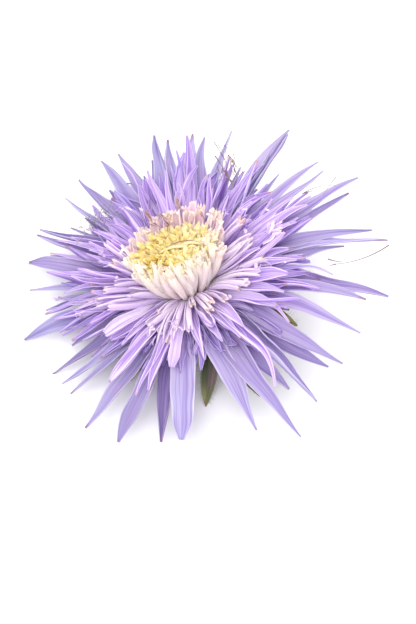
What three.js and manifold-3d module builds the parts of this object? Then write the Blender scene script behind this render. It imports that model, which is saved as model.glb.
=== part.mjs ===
// A quilled China aster bloom, picked with a short stub of stem and resting on a flat surface.
// Long lilac ray florets spread and droop round a standing brush of cream florets with a yellow eye,
// and leafy green bracts carry the head from below. The bloom leans on its slanting stem cut and on
// three of its bracts. Millimetres and degrees; +Z is up and the surface is the plane z = 0.
// In the bloom's own frame the stem's axis is Z, the florets' roots are at the origin, and azimuths
// run anticlockwise seen from above: 0 is the right, 90 the back, 180 the left and 270 the front.

import * as THREE from "three";
import Module from "manifold-3d";
import { mergeVertices } from "three/addons/utils/BufferGeometryUtils.js";

const wasm = await Module();
wasm.setup();

const DEGREE = Math.PI / 180;
const GOLDEN_ANGLE = 137.508;

// How the bloom rests: its lean to the left, and how high the florets' roots are above the surface
const LEAN = 14;
const ROOT_HEIGHT = 15.8;

// Cores that the florets and bracts grow from, as lathe profiles of [radius, height] that start and
// end on the axis. The creamy and yellow ones are in the brush's leaning frame.
const RECEPTACLE = [[0, -6.3], [2.1, -6.3], [3.6, -5.2], [6, -3.6], [6.9, -2.2], [6.7, -1.2], [0, -1.2]];
const RAY_CORE = [
  [0, -0.9], [6.6, -0.9], [7.5, -0.2], [7.1, 0.5], [5.8, 0.7], [4.4, 0.3], [3.6, -0.3], [0, -0.3],
];
const CREAM_CORE = [[0, 1.1], [2.4, 1.1], [3.6, 2.1], [4.8, 3.9], [6.4, 8], [0, 8]];
const DISC_CORE = [[0, 8.4], [5.2, 8.4], [7, 10], [7.3, 11.2], [6, 12], [0, 12.6]];
const LATHE_SIDES = 16;

const STEM = { top: -6.6, radius: 1.9, rib: 0.12, sides: 14 };

// The slopes of the outermost rays and of the innermost rays against the brush: their height above
// level at the bloom's sides, and what its back adds and its front takes away
const OUTER_SLOPE = { side: -3.6, back: 7.9 };
const INNER_SLOPE = { side: 46, back: -13 };

// Ray florets of the outermost layer: azimuth of the tip, reach from the axis, azimuth half way
// along, greatest width, and 1 for those that lie beneath their neighbours
const OUTER_RAYS = [
  [8, 53.5, 24, 3.6, 0], [14, 50.5, 26, 2.6, 0], [12, 41.5, 11, 2.6, 0], [20, 34, 22, 5.5, 1],
  [29, 50, 26, 3, 0], [32, 55, 33, 3.2, 0], [30, 46, 38, 4.5, 1], [41, 49.5, 43, 3, 0],
  [45, 51.5, 49, 3.8, 0], [54, 42.5, 55, 3.2, 1], [58, 53, 57, 3.6, 1], [60, 56, 62, 4, 0],
  [70, 41, 68, 3.5, 1], [77, 52, 76, 3.8, 0], [85, 51, 79, 4.6, 0], [88, 50.5, 87, 5, 0],
  [91, 46, 91, 3, 1], [96, 51.5, 93, 4.2, 0], [100, 53, 99, 5.2, 0], [102, 48, 106, 4.6, 1],
  [107, 44.5, 104, 3, 1], [112, 51.5, 107, 4.8, 0], [117, 53, 117, 4.4, 0], [120, 45.5, 121, 3.2, 1],
  [125, 49.5, 123, 4.6, 1], [127, 53, 127, 3.2, 0], [134, 52, 135, 2.8, 0], [136, 42, 138, 3.4, 1],
  [141, 44, 140, 3, 1], [147, 51.5, 142, 3, 0], [150, 50, 151, 3.2, 0], [153, 45, 155, 2.4, 1],
  [159, 49.5, 159, 4.4, 0], [165, 36, 165, 5, 1], [169, 45.5, 170, 3.2, 0], [173, 38, 174, 2.2, 0],
  [178, 40.5, 178, 2.8, 0], [187, 46.5, 188, 6, 0], [195, 34.5, 194, 4, 1], [203, 42.5, 204, 6, 1],
  [211, 41, 214, 3.6, 0], [216, 41, 219, 3.6, 0], [225, 32, 226, 2.8, 0], [230, 45, 235, 5.4, 0],
  [243, 44.5, 246, 4.8, 0], [256, 41, 254, 4, 1], [265, 41.5, 266, 6.4, 0], [291, 44, 291, 5.4, 0],
  [301, 51.5, 301, 5.8, 0], [308, 39, 307, 5.5, 1], [311, 47.5, 319, 3.6, 0], [326, 46.5, 330, 5.6, 0],
  [323, 43, 324, 5, 1], [339, 47.5, 349, 4.8, 0], [351, 47, 357, 3.8, 0], [352, 52, 362, 4.4, 1],
];
const OUTER = { radius: 5.2, upper: 0.2, lower: -0.3, dip: 2.5, arch: 9, lift: 0.16 };

// Layers of narrower rays between the outermost rays and the brush. rise is how far up a layer lies
// between the two, with how much it varies; front and back are the reach there, with its spread;
// arch is the bend over the length, and lift how far the edges stand up.
const MIDDLE_RAYS = {
  seed: 11, count: 36, rise: 0.22, varies: 0.14, front: 30, back: 42, spread: 9,
  width: 3.2, arch: 10, lift: 0.3,
};
const INNER_RAYS = {
  seed: 23, count: 34, rise: 0.44, varies: 0.16, front: 23, back: 33, spread: 9,
  width: 2.5, arch: 7, lift: 0.45,
};
const QUILL_RAYS = {
  seed: 37, count: 34, rise: 0.6, varies: 0.4, front: 16, back: 20, spread: 7,
  width: 1.5, arch: 2,
};
const LAYER_ROOT = { radius: 5, height: 0 };
const LAYER_SCATTER = { azimuth: 8, sweep: 16, width: 0.4, arch: 1 };

// Blades are cut across at these shares of their length, and are this thick at the keel
const OUTER_STEPS = [0, 0.17, 0.48, 0.77];
const LAYER_STEPS = [0, 0.3, 0.66];
const BRACT_STEPS = [0, 0.25, 0.5, 0.78];
const BLADE_THICKNESS = 0.8;

// A blade's outline: the claw's share of the width, where it starts to widen and is full, where it
// starts to taper, and how drawn out the tip is
const LANCE = { claw: 0.28, widens: 0.08, full: 0.5, tapers: 0.45, drawn: 1.6 };

// A centre line bends within this share of its length from either end
const HANDLE = 0.35;

// Quills widen from foot to mouth, in shares of their width
const QUILL_STEPS = [0, 0.55, 1];
const QUILL_FOOT = 0.7;
const QUILL_MOUTH = 1.15;

// The brush leans back and left from the bloom's axis, and its foot is in front of it
const BRUSH = { back: 13, left: 1.5, forward: 0.6, sink: 0.5 };

// Its rings of cream florets leave their roots and arrive at their tips at these slopes. Those at
// the front rise higher and curl inward over the disc.
const CREAM_RINGS = [
  {
    seed: 51, count: 30, root: 3, base: 2.2, leave: 38, tip: 13.4, height: 13.4, arrive: 66, inward: 5.5,
    width: 1.7,
  },
  {
    seed: 53, count: 24, root: 4.4, base: 5.2, leave: 30, tip: 11.4, height: 14, arrive: 80, inward: 2,
    width: 1.5,
  },
];
const CREAM_FRONT = { curl: 45, rise: 2.2 };
const CREAM_SCATTER = { azimuth: 6, sway: 8, tip: 1.2, height: 1.4 };

// Disc florets stand on the dome of their core and splay outward; foot and head are half thicknesses
const DISC = { seed: 71, count: 44, back: 0.6, radius: 7, crown: 12.3, fall: 1, sunk: 0.6, splay: 0.14 };
const DISC_FLORET = { height: 1.9, varies: 0.8, foot: 0.5, head: 0.75 };

// Bracts: azimuth of the tip, reach, azimuth half way along, width, and height above the surface
const BRACTS = [
  [271, 26.5, 275, 5.5, 0], [300, 31, 302, 5, 6], [322, 28, 320, 5.5, 8], [346, 27, 348, 5, 9],
  [12, 25, 12, 5.5, 11], [40, 24, 42, 5, 7], [68, 23, 68, 5.5, 0], [98, 25, 96, 5, 4], [125, 26, 125, 5, 4],
  [150, 25, 152, 5.5, 0], [176, 26, 176, 5, 2], [202, 25, 202, 5, 2], [228, 27, 226, 5, 3],
  [250, 26, 250, 5, 3],
];
const BRACT = { radius: 5.4, height: -3.2, arch: 14, lift: 0.2 };

// A seeded sequence of numbers from 0 to 1
function dice(seed) {
  let state = seed;
  return () => {
    state = (state * 16807) % 2147483647;
    return state / 2147483647;
  };
}

function direction(azimuth, slope) {
  const level = Math.cos(slope * DEGREE);
  return new THREE.Vector3(
    level * Math.cos(azimuth * DEGREE),
    level * Math.sin(azimuth * DEGREE),
    Math.sin(slope * DEGREE),
  );
}

function cylindrical(radius, azimuth, height) {
  return direction(azimuth, 0).multiplyScalar(radius).setZ(height);
}

// A floret's or bract's centre line, with the level direction across it
function centreLine(root, tip, leave, arrive, azimuth) {
  const handle = root.distanceTo(tip) * HANDLE;
  const curve = new THREE.CubicBezierCurve3(
    root,
    root.clone().addScaledVector(leave, handle),
    tip.clone().addScaledVector(arrive, -handle),
    tip,
  );
  return { curve, level: direction(azimuth + 90, 0) };
}

// A centre line that sweeps sideways from its root to its tip and arches over between them
function sweptLine(tipAzimuth, reach, midAzimuth, slope, arch, rootRadius, rootHeight) {
  const sweep = midAzimuth - tipAzimuth;
  const rootAzimuth = midAzimuth + HANDLE * sweep;
  const tipHeight = rootHeight + (reach - rootRadius) * Math.tan(slope * DEGREE);
  return centreLine(
    cylindrical(rootRadius, rootAzimuth, rootHeight),
    cylindrical(reach, tipAzimuth, tipHeight),
    direction(rootAzimuth, slope + arch),
    direction(tipAzimuth - sweep, slope - arch),
    midAzimuth,
  );
}

// A point on the line, with the directions across the floret and out of its face
function station(line, share) {
  const along = line.curve.getTangent(share);
  const across = line.level.clone().addScaledVector(along, -line.level.dot(along)).normalize();
  return { centre: line.curve.getPoint(share), across, out: along.cross(across) };
}

function offset(place, sideways, outwards) {
  return place.centre.clone().addScaledVector(place.across, sideways).addScaledVector(place.out, outwards);
}

// A lance-shaped blade's share of its greatest width: a narrow claw, a full middle, a drawn-out tip
function lanceWidth(share) {
  const rise = THREE.MathUtils.smoothstep(share, LANCE.widens, LANCE.full);
  const fall = Math.max((share - LANCE.tapers) / (1 - LANCE.tapers), 0);
  return THREE.MathUtils.lerp(LANCE.claw, 1, rise) * (1 - fall ** LANCE.drawn);
}

// A closed solid through rings of equally many points, with a fan to each end
function lofted(rings, first, last) {
  const points = [first, ...rings.flat(), last];
  const sides = rings[0].length;
  const end = points.length - 1;
  const faces = [];
  for (let k = 0; k < sides; k++) {
    const next = (k + 1) % sides;
    faces.push(0, 1 + next, 1 + k);
    faces.push(end, end - sides + k, end - sides + next);
    for (let ring = 0; ring < rings.length - 1; ring++) {
      const low = 1 + ring * sides;
      const high = low + sides;
      faces.push(low + k, low + next, high + k, low + next, high + next, high + k);
    }
  }
  const geometry = new THREE.BufferGeometry().setFromPoints(points);
  geometry.setIndex(faces);
  return geometry;
}

// A blade along a centre line, with raised edges and a keel
function blade(line, width, lift, steps) {
  const rings = steps.map((share) => {
    const place = station(line, share);
    const half = (width * lanceWidth(share)) / 2;
    const keel = Math.min(BLADE_THICKNESS / 2, half);
    return [
      offset(place, -half, lift * half),
      offset(place, 0, -keel),
      offset(place, half, lift * half),
      offset(place, 0, keel),
    ];
  });
  return lofted(rings, line.curve.getPoint(0), line.curve.getPoint(1));
}

// A four-sided rod along a centre line. halfAt gives half its thickness at each step.
function rod(line, steps, halfAt) {
  const rings = steps.map((share) => {
    const place = station(line, share);
    const half = halfAt(share);
    return [offset(place, -half, 0), offset(place, 0, -half), offset(place, half, 0), offset(place, 0, half)];
  });
  return lofted(rings, line.curve.getPoint(0), line.curve.getPoint(1));
}

function quill(line, width) {
  const { lerp } = THREE.MathUtils;
  return rod(line, QUILL_STEPS, (share) => (width / 2) * lerp(QUILL_FOOT, QUILL_MOUTH, share));
}

function lathed(profile) {
  const points = profile.map(([radius, height]) => new THREE.Vector2(radius, height));
  return new THREE.LatheGeometry(points, LATHE_SIDES).rotateX(Math.PI / 2);
}

function solidOf(geometry) {
  const bare = geometry.clone();
  bare.deleteAttribute("normal");
  bare.deleteAttribute("uv");
  const merged = mergeVertices(bare, 1e-4);
  return new wasm.Manifold(new wasm.Mesh({
    numProp: 3,
    vertProperties: merged.attributes.position.array,
    triVerts: new Uint32Array(merged.index.array),
  }));
}

// All the pieces grown together as one closed body
function fused(geometries) {
  const mesh = wasm.Manifold.union(geometries.map(solidOf)).getMesh();
  return new THREE.BufferGeometry()
    .setAttribute("position", new THREE.BufferAttribute(new Float32Array(mesh.vertProperties), 3))
    .setIndex(new THREE.BufferAttribute(mesh.triVerts, 1));
}

// Height in the bloom's frame of the point at x that lies at a height above the surface
function heightAbove(x, height) {
  return (height - ROOT_HEIGHT - x * Math.sin(LEAN * DEGREE)) / Math.cos(LEAN * DEGREE);
}

function slopeAt(slope, azimuth) {
  return slope.side + slope.back * Math.sin(azimuth * DEGREE);
}

function outerRays() {
  return OUTER_RAYS.map(([tipAzimuth, reach, midAzimuth, width, beneath]) => {
    const slope = slopeAt(OUTER_SLOPE, tipAzimuth) - beneath * OUTER.dip;
    const height = beneath ? OUTER.lower : OUTER.upper;
    const line = sweptLine(tipAzimuth, reach, midAzimuth, slope, OUTER.arch, OUTER.radius, height);
    return blade(line, width, OUTER.lift, OUTER_STEPS);
  });
}

// Centre lines and widths of a layer of rays, turned by the golden angle from one to the next
function layerRays(layer) {
  const roll = dice(layer.seed);
  return Array.from({ length: layer.count }, (_, i) => {
    const azimuth = layer.seed + i * GOLDEN_ANGLE + LAYER_SCATTER.azimuth * (roll() - 0.5);
    const toBack = (1 + Math.sin(azimuth * DEGREE)) / 2;
    const length = THREE.MathUtils.lerp(layer.front, layer.back, toBack) + layer.spread * (roll() - 0.5);
    const midAzimuth = azimuth + LAYER_SCATTER.sweep * (roll() - 0.5);
    const rise = layer.rise + layer.varies * (roll() - 0.5);
    const width = layer.width * (1 + LAYER_SCATTER.width * (roll() - 0.5));
    const arch = layer.arch * (1 + LAYER_SCATTER.arch * (roll() - 0.5));
    const slope = THREE.MathUtils.lerp(slopeAt(OUTER_SLOPE, azimuth), slopeAt(INNER_SLOPE, azimuth), rise);
    const reach = length * Math.cos(slope * DEGREE);
    const line = sweptLine(azimuth, reach, midAzimuth, slope, arch, LAYER_ROOT.radius, LAYER_ROOT.height);
    return { line, width };
  });
}

function rayFlorets() {
  const blades = [MIDDLE_RAYS, INNER_RAYS].flatMap((layer) => (
    layerRays(layer).map(({ line, width }) => blade(line, width, layer.lift, LAYER_STEPS))
  ));
  const quills = layerRays(QUILL_RAYS).map(({ line, width }) => quill(line, width));
  return fused([lathed(RAY_CORE), ...outerRays(), ...blades, ...quills]);
}

function creamRing(ring) {
  const roll = dice(ring.seed);
  return Array.from({ length: ring.count }, (_, i) => {
    const azimuth = (i * 360) / ring.count + CREAM_SCATTER.azimuth * (roll() - 0.5);
    const front = Math.max(-Math.sin(azimuth * DEGREE), 0);
    const tip = ring.tip - ring.inward * front + CREAM_SCATTER.tip * (roll() - 0.5);
    const height = ring.height + CREAM_FRONT.rise * front + CREAM_SCATTER.height * (roll() - 0.5);
    const tipAzimuth = azimuth + CREAM_SCATTER.sway * (roll() - 0.5);
    const line = centreLine(
      cylindrical(ring.root, azimuth, ring.base),
      cylindrical(tip, tipAzimuth, height),
      direction(azimuth, ring.leave),
      direction(tipAzimuth, ring.arrive + CREAM_FRONT.curl * front),
      azimuth,
    );
    return quill(line, ring.width);
  });
}

function creamFlorets() {
  return fused([lathed(CREAM_CORE), ...CREAM_RINGS.flatMap(creamRing)]);
}

// Flaring studs, spaced by the golden angle over the dome
function discFlorets() {
  const roll = dice(DISC.seed);
  const studs = Array.from({ length: DISC.count }, (_, i) => {
    const share = Math.sqrt((i + 0.5) / DISC.count);
    const azimuth = i * GOLDEN_ANGLE;
    const base = DISC.crown - DISC.fall * share * share;
    const top = base + DISC_FLORET.height + DISC_FLORET.varies * (roll() - 0.5);
    const upright = direction(azimuth, 90);
    const line = centreLine(
      cylindrical(DISC.radius * share * (1 - DISC.splay), azimuth, base - DISC.sunk),
      cylindrical(DISC.radius * share, azimuth, top),
      upright,
      upright,
      azimuth,
    );
    return rod(line, [0, 1], (step) => THREE.MathUtils.lerp(DISC_FLORET.foot, DISC_FLORET.head, step));
  });
  return fused([lathed(DISC_CORE), ...studs]);
}

function involucre() {
  const bracts = BRACTS.map(([tipAzimuth, reach, midAzimuth, width, height]) => {
    const tipHeight = heightAbove(reach * Math.cos(tipAzimuth * DEGREE), height);
    const slope = Math.atan2(tipHeight - BRACT.height, reach - BRACT.radius) / DEGREE;
    const line = sweptLine(tipAzimuth, reach, midAzimuth, slope, BRACT.arch, BRACT.radius, BRACT.height);
    return blade(line, width, BRACT.lift, BRACT_STEPS);
  });
  return fused([lathed(RECEPTACLE), ...bracts]);
}

// A ribbed stub, its slanting cut flat on the surface
function stem() {
  const around = Array.from({ length: STEM.sides }, (_, k) => (
    cylindrical(STEM.radius + (k % 2 ? STEM.rib : -STEM.rib), (k * 360) / STEM.sides, STEM.top)
  ));
  const cut = around.map((point) => point.clone().setZ(heightAbove(point.x, 0)));
  return lofted([cut, around], new THREE.Vector3(0, 0, heightAbove(0, 0)), new THREE.Vector3(0, 0, STEM.top));
}

function part(name, geometry, color, roughness) {
  const material = new THREE.MeshStandardMaterial({ color, roughness, metalness: 0 });
  const mesh = new THREE.Mesh(geometry, material);
  mesh.name = name;
  return mesh;
}

const disc = part("disc_florets", discFlorets(), 0xf2dc6a, 0.8);
disc.position.y = DISC.back;

const brush = new THREE.Group();
brush.rotation.set(-BRUSH.back * DEGREE, -BRUSH.left * DEGREE, 0);
brush.position.set(0, -BRUSH.forward, -BRUSH.sink);
brush.add(part("cream_florets", creamFlorets(), 0xf1e6e4, 0.7), disc);

const bloom = new THREE.Group();
bloom.rotation.y = -LEAN * DEGREE;
bloom.position.z = ROOT_HEIGHT;
bloom.add(part("stem", stem(), 0x6f7f4a, 0.7));
bloom.add(part("involucre", involucre(), 0x56683c, 0.7));
bloom.add(part("ray_florets", rayFlorets(), 0xb49be0, 0.6));
bloom.add(brush);

// The origin is on the surface, below the middle of the whole bloom's outline
const aster = new THREE.Group();
aster.add(bloom);
aster.updateMatrixWorld(true);
const middle = new THREE.Box3().setFromObject(aster, true).getCenter(new THREE.Vector3());
bloom.position.x -= middle.x;
bloom.position.y -= middle.y;

export default aster;
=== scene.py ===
# A quilled China aster bloom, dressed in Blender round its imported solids. Its petals follow the same
# centre lines as the solids do, as thin closed straps that are channelled, rolled or quilled.
# Lengths are in millimetres and angles in degrees until a piece is built, and then in metres.

import math

import bpy
import numpy as np
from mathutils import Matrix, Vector


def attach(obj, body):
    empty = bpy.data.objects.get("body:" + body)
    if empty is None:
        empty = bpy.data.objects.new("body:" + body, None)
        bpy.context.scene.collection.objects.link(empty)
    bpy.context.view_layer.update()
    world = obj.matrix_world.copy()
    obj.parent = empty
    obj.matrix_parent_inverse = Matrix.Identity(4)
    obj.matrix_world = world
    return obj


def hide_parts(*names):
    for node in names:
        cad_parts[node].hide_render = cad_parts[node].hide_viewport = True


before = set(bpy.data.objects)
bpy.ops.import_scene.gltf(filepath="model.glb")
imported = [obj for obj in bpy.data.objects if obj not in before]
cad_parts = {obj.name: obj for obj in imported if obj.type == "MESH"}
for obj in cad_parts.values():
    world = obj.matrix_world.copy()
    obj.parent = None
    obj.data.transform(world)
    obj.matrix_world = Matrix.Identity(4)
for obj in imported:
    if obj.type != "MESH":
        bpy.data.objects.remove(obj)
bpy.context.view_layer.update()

MM = 0.001
DEGREE = math.pi / 180
GOLDEN_ANGLE = 137.508

# How the bloom rests: its lean to the left, and how high the florets' roots are above the surface
LEAN = 14
ROOT_HEIGHT = 15.8

# Slopes above level of the outermost and of the innermost rays: at the bloom's sides, and what its
# back adds and its front takes away
OUTER_SLOPE = (-3.6, 7.9)
INNER_SLOPE = (46, -13)

# Ray florets of the outermost layer: azimuth of the tip, reach from the axis, azimuth half way
# along, greatest width, and 1 for those that lie beneath their neighbours
OUTER_RAYS = [
    (8, 53.5, 22, 5.2, 0), (14, 50.5, 25, 3.4, 0), (12, 42.5, 9, 3, 0), (20, 34, 22, 5.5, 1),
    (29, 50, 26, 3.6, 0), (32, 55, 33, 3.2, 0), (30, 46, 38, 4.5, 1), (41, 49.5, 43, 3, 0),
    (45, 51.5, 49, 3.8, 0), (54, 42.5, 55, 3.2, 1), (58, 54, 60, 4, 0), (60, 56, 62, 4, 0),
    (70, 41, 68, 3.5, 1), (77, 52, 76, 4.2, 0), (85, 51, 79, 5, 0), (88, 50.5, 87, 5.8, 0),
    (91, 46, 91, 3, 1), (96, 51.5, 93, 4.8, 0), (100, 53, 99, 5.2, 0), (102, 48, 106, 4.6, 1),
    (107, 44.5, 104, 3, 1), (112, 51.5, 107, 5.4, 0), (117, 53, 117, 5, 0), (120, 45.5, 121, 3.2, 1),
    (125, 49.5, 123, 4.6, 1), (127, 53, 127, 3.2, 0), (134, 52, 135, 2.8, 0), (136, 42, 138, 3.4, 1),
    (141, 44, 140, 3, 1), (147, 51.5, 142, 3, 0), (150, 50, 151, 3.2, 0), (153, 45, 155, 2.4, 1),
    (159, 49.5, 159, 4.8, 0), (165, 36, 165, 5, 1), (169, 45.5, 170, 3.2, 0), (173, 38, 174, 2.2, 0),
    (176, 41, 177, 2.2, 0), (187, 46.5, 188, 5.8, 0), (195, 34.5, 194, 4, 1), (203, 42.5, 204, 6, 1),
    (211, 41, 214, 3.6, 0), (216, 41, 219, 3.6, 0), (225, 32, 226, 2.8, 0), (230, 45, 235, 5.4, 0),
    (243, 44.5, 246, 4.8, 0), (256, 41, 254, 4, 1), (265, 41.5, 266, 6.4, 0), (291, 44, 291, 5.4, 0),
    (301, 51.5, 301, 5.8, 0), (308, 39, 307, 5.5, 1), (311, 47.5, 319, 3.6, 0),
    (326, 46.5, 330, 5.6, 0), (323, 43, 324, 5, 1), (339, 47.5, 349, 4.8, 0), (351, 47, 357, 3.8, 0),
    (352, 52, 362, 4.4, 1),
]
OUTER = dict(radius=5.2, upper=0.2, lower=-0.3, dip=2.5, arch=9)

# Rays of that layer that stand out, by the azimuth of the tip: how dark they are, partly a darker
# tone and partly painted shade on those that lie beneath, how far their sides fold up, how strong
# their lengthwise folds are, and how their width runs
RAY_LOOKS = {
    159: dict(darker_tone_and_painted_shade=0.12, fold=44, form="club", folds=44),
    187: dict(darker_tone_and_painted_shade=0.1, fold=26, form="taper", folds=30), 203: dict(darker_tone_and_painted_shade=0.7, fold=24, form="drawn"),
    211: dict(darker_tone_and_painted_shade=0.1), 230: dict(darker_tone_and_painted_shade=0.2, fold=24, folds=14),
    243: dict(darker_tone_and_painted_shade=0.4, fold=22, form="club", folds=16), 256: dict(darker_tone_and_painted_shade=0.9, fold=50, form="spear"),
    265: dict(darker_tone_and_painted_shade=0.0, fold=14, form="blunt", folds=7),
    291: dict(darker_tone_and_painted_shade=0.1, fold=20, form="spur", folds=8),
    301: dict(darker_tone_and_painted_shade=0.25, fold=34, form="drawn", folds=20), 311: dict(darker_tone_and_painted_shade=0.1, fold=80, form="drawn"),
    326: dict(darker_tone_and_painted_shade=0.2, fold=30, form="drawn", folds=34),
    339: dict(darker_tone_and_painted_shade=0.2, fold=22, form="drawn", folds=16),
}

# How a ray's width runs along it, as shares of the greatest width at the shares ALONG of its length
ALONG = (0, 0.1, 0.25, 0.4, 0.55, 0.7, 0.82, 0.92, 1)
FORMS = {
    "spear": (0.30, 0.45, 0.75, 0.95, 1, 0.84, 0.56, 0.26, 0),
    "drawn": (0.30, 0.50, 0.85, 1, 0.88, 0.58, 0.32, 0.14, 0),
    "blunt": (0.35, 0.50, 0.80, 0.95, 1, 0.97, 0.86, 0.58, 0.1),
    "club": (0.30, 0.38, 0.55, 0.76, 0.94, 1, 0.90, 0.54, 0),
    "spur": (0.35, 0.55, 0.85, 1, 0.98, 0.84, 0.44, 0.20, 0),
    "round": (0.35, 0.44, 0.60, 0.78, 0.92, 1, 1, 0.86, 0.36),
    "taper": (0.50, 0.70, 0.92, 1, 0.98, 0.82, 0.56, 0.28, 0),
}

# Layers of narrower rays between the outermost rays and the brush: how many, how much of the inner
# slope they take and how that varies, their length in front, at the sides and at the back and how
# that varies, their width and what the back adds to it, and their arch. A layer keeps to the arcs of
# azimuths in only, and leaves those in free to the placed rays.
MIDDLE_RAYS = dict(
    seed=11, count=48, rise=0.2, varies=0.14, front=25, side=34, back=41, spread=9, width=2.5,
    broader=0.7, arch=9, free=((222, 330),),
)
INNER_RAYS = dict(
    seed=23, count=40, rise=0.42, varies=0.2, front=18, side=28, back=34, spread=11, width=2.2,
    broader=0.5, arch=7, free=((200, 364),),
)
QUILL_RAYS = dict(
    seed=37, count=34, rise=0.6, varies=0.4, front=15, side=19, back=23, spread=8, width=1.6, broader=0,
    arch=2, free=((160, 352),),
)
UNDER_RAYS = dict(
    seed=83, count=60, rise=0.08, varies=0.14, front=22, side=36, back=40, spread=9, width=2.6,
    broader=0.4, arch=8, free=((337, 347), (13.6, 16)),
)
NARROW_RAYS = dict(
    seed=91, count=50, rise=0.42, varies=0.4, front=17, side=27, back=33, spread=12, width=1.7,
    broader=0.2, arch=5, free=((200, 364),),
)
FRONT_RAYS = dict(
    seed=29, count=72, rise=0.06, varies=0.1, front=19, side=23, back=23, spread=9, width=2.9,
    broader=0, arch=7, only=((200, 352),), free=((337, 347),),
)
LAYER_RADIUS = 5
# How far single ones stray in azimuth and sweep, and in shares of their width and arch
LAYER_SCATTER = dict(azimuth=8, sweep=16, width=0.4, arch=1)
# How much narrower they are at the left, and how their widths run
LEFT_NARROWER = 0.28
NARROW_FORMS = ("spear", "drawn", "blunt", "taper", "drawn", "taper")

# Rays that stand out between the layers: azimuth of the tip, reach, height of the tip, azimuth half
# way along, width, how its width runs, how far its sides fold up, how far it twists, how far its
# tip turns aside, how pale it is and how brown its tip is
PLACED_RAYS = [
    (212, 25.3, 4.5, 214, 3.2, "round", 58, 0, 0, 1.3, 0),
    (214, 24.7, 2.2, 220, 2.6, "blunt", 70, 0, 0, 0.3, 0),
    (223, 23.8, 2.4, 226, 2.2, "spur", 70, 10, 0, 0.5, 0.3),
    (228, 23.7, 1.6, 233, 2, "spear", 80, 0, 0, 0.3, 0),
    (295, 17.1, 4.2, 293, 2.6, "round", 115, -20, 0, 0.6, 0),
    (312, 23, 4.6, 314, 3, "spear", 75, 0, 0, 0.35, 0),
    (306, 24.4, 3, 304, 2.6, "spur", 80, -20, 0, 0.4, 0.7),
    (281, 24, 2.2, 281, 2.8, "drawn", 60, 60, 0, 0.6, 0.4),
    (261, 25.1, 1.6, 267, 2.7, "round", 66, 0, 0, 0.5, 0.3),
    (231, 33, 0.8, 239, 2.4, "blunt", 80, 0, 0, 0.6, 0.4),
    (249, 31, -1, 252, 2.3, "spear", 100, 0, 0, 0.1, 0.4),
    (244, 33.2, -1.6, 249, 2, "drawn", 80, 0, 0, 0.1, 0.8),
    (334, 26.6, 4, 331, 2.8, "blunt", 55, 0, 0, 0.5, 0.5),
    (351, 28.2, 7, 349, 4, "blunt", 30, 0, 0, 0.15, 0),
    (9, 28.3, 6, 7, 2.4, "blunt", 60, 0, 0, 0.3, 0.6),
    (343, 27.4, 4.4, 344, 2.8, "spear", 70, 0, 0, 0.6, 0),
    (334, 31.7, 1.2, 337, 2.4, "drawn", 50, 0, -24, 0.2, 0.5),
    (19, 28.6, 9, 20, 2.2, "drawn", 90, 20, -30, 0.5, 0),
    (309, 41.1, -1, 313, 2.5, "drawn", 110, 30, -26, 0.2, 0),
    (296, 21.1, 1.6, 294, 2.2, "spear", 80, 20, 0, 0.2, 0),
    (249, 18.4, 1, 253, 2.6, "spear", 90, 0, 0, 0.15, 0),
    (181, 28.8, 3.6, 187, 2.3, "drawn", 90, 20, 0, 0.1, 0),
    (180, 33.1, 2.2, 188, 2.4, "drawn", 80, 0, 0, 0.1, 0),
    (169, 29.7, 5, 178, 2.4, "drawn", 70, 0, 0, 0.1, 0),
    (309, 26.7, 0.6, 306, 2.6, "spear", 60, 0, 0, 0.1, 0),
    (187, 30.4, 4, 185, 2.3, "drawn", 90, 20, 0, 0.1, 0),
    (176, 33.5, 5, 172, 2.3, "drawn", 80, 0, 0, 0.1, 0),
    (167, 36, 6, 167, 2.1, "drawn", 60, 0, 0, 0.1, 0.3),
    (152, 29.5, 7, 150, 1.7, "drawn", 90, 0, 0, 0.1, 0.3),
    (47, 27.9, 8, 45, 2.5, "spear", 70, 0, 0, 0.3, 0),
    (154, 44.1, 1, 156, 1.7, "drawn", 90, 0, 0, 0, 1),
    (148.4, 45.1, 2, 150, 1.8, "drawn", 90, 0, 0, 0, 0.2),
    (7, 21.5, 10, 4, 2, "spear", 80, 10, 0, 0.2, 0), (0, 30, 6.5, 1, 2.8, "spear", 50, 0, 0, 0.45, 0.3),
    (27, 38, 7, 25, 3.4, "spear", 40, 0, 0, 0.15, 0), (34, 36, 7.5, 33, 3, "drawn", 50, 10, 0, 0.2, 0),
    (22, 33, 7, 22, 3.2, "spear", 44, -10, 0, 0.1, 0),
]

# Quills that stand out: azimuth of the tip, reach, height of the tip, azimuth half way, and width
PLACED_QUILLS = [
    (202, 20.9, 4.8, 209, 1.5), (191, 22.8, 6, 198, 2), (234, 11.2, 5.2, 245, 1.35),
    (238, 15.6, 4.4, 245, 1.8), (260, 13.7, 4.2, 263, 1.6), (273, 15.3, 4.6, 275, 1.75),
    (242, 18.2, 2.6, 249, 1.5), (259, 17.9, 2.6, 259, 1.1), (188, 29, 3.2, 197, 1.6),
    (182, 20.2, 7.4, 187, 1.5), (197, 14.4, 7.6, 211, 2.4), (343, 17.9, 7.2, 343, 1.5),
    (338, 15.5, 6.2, 334, 1.5), (7, 16.6, 9.4, 357, 1.6), (23, 19.2, 11, 11, 1.6),
    (167, 18.5, 9.6, 176, 1.7), (179, 16.9, 8.6, 183, 1.6), (326, 14.3, 5.6, 322, 1.5),
    (353, 19.9, 8, 351, 1.5), (11, 19.3, 9.6, 2, 1.5), (359, 21.3, 7.6, 355, 1.4),
    (155, 23.4, 9, 155, 1.3), (36, 19, 11, 38, 1.6), (46, 18, 12, 46, 1.5),
]
# Stubs at the brush's foot in front: azimuth and reach, height, azimuth half way, and width
PLACED_STUBS = [(307, 12.1, 6.8, 307, 1.6), (301, 13.2, 5.8, 300, 1.8), (285, 8.8, 5.4, 287, 1.3)]
# How high these start, at the sides and what the front adds
PLACED_BASE = (0.8, 1.2)
# The arch of placed rays and of placed quills, and how far from the axis their feet stand
RAY_FEET = (14, LAYER_RADIUS)
QUILL_FEET = (16, 4)

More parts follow.
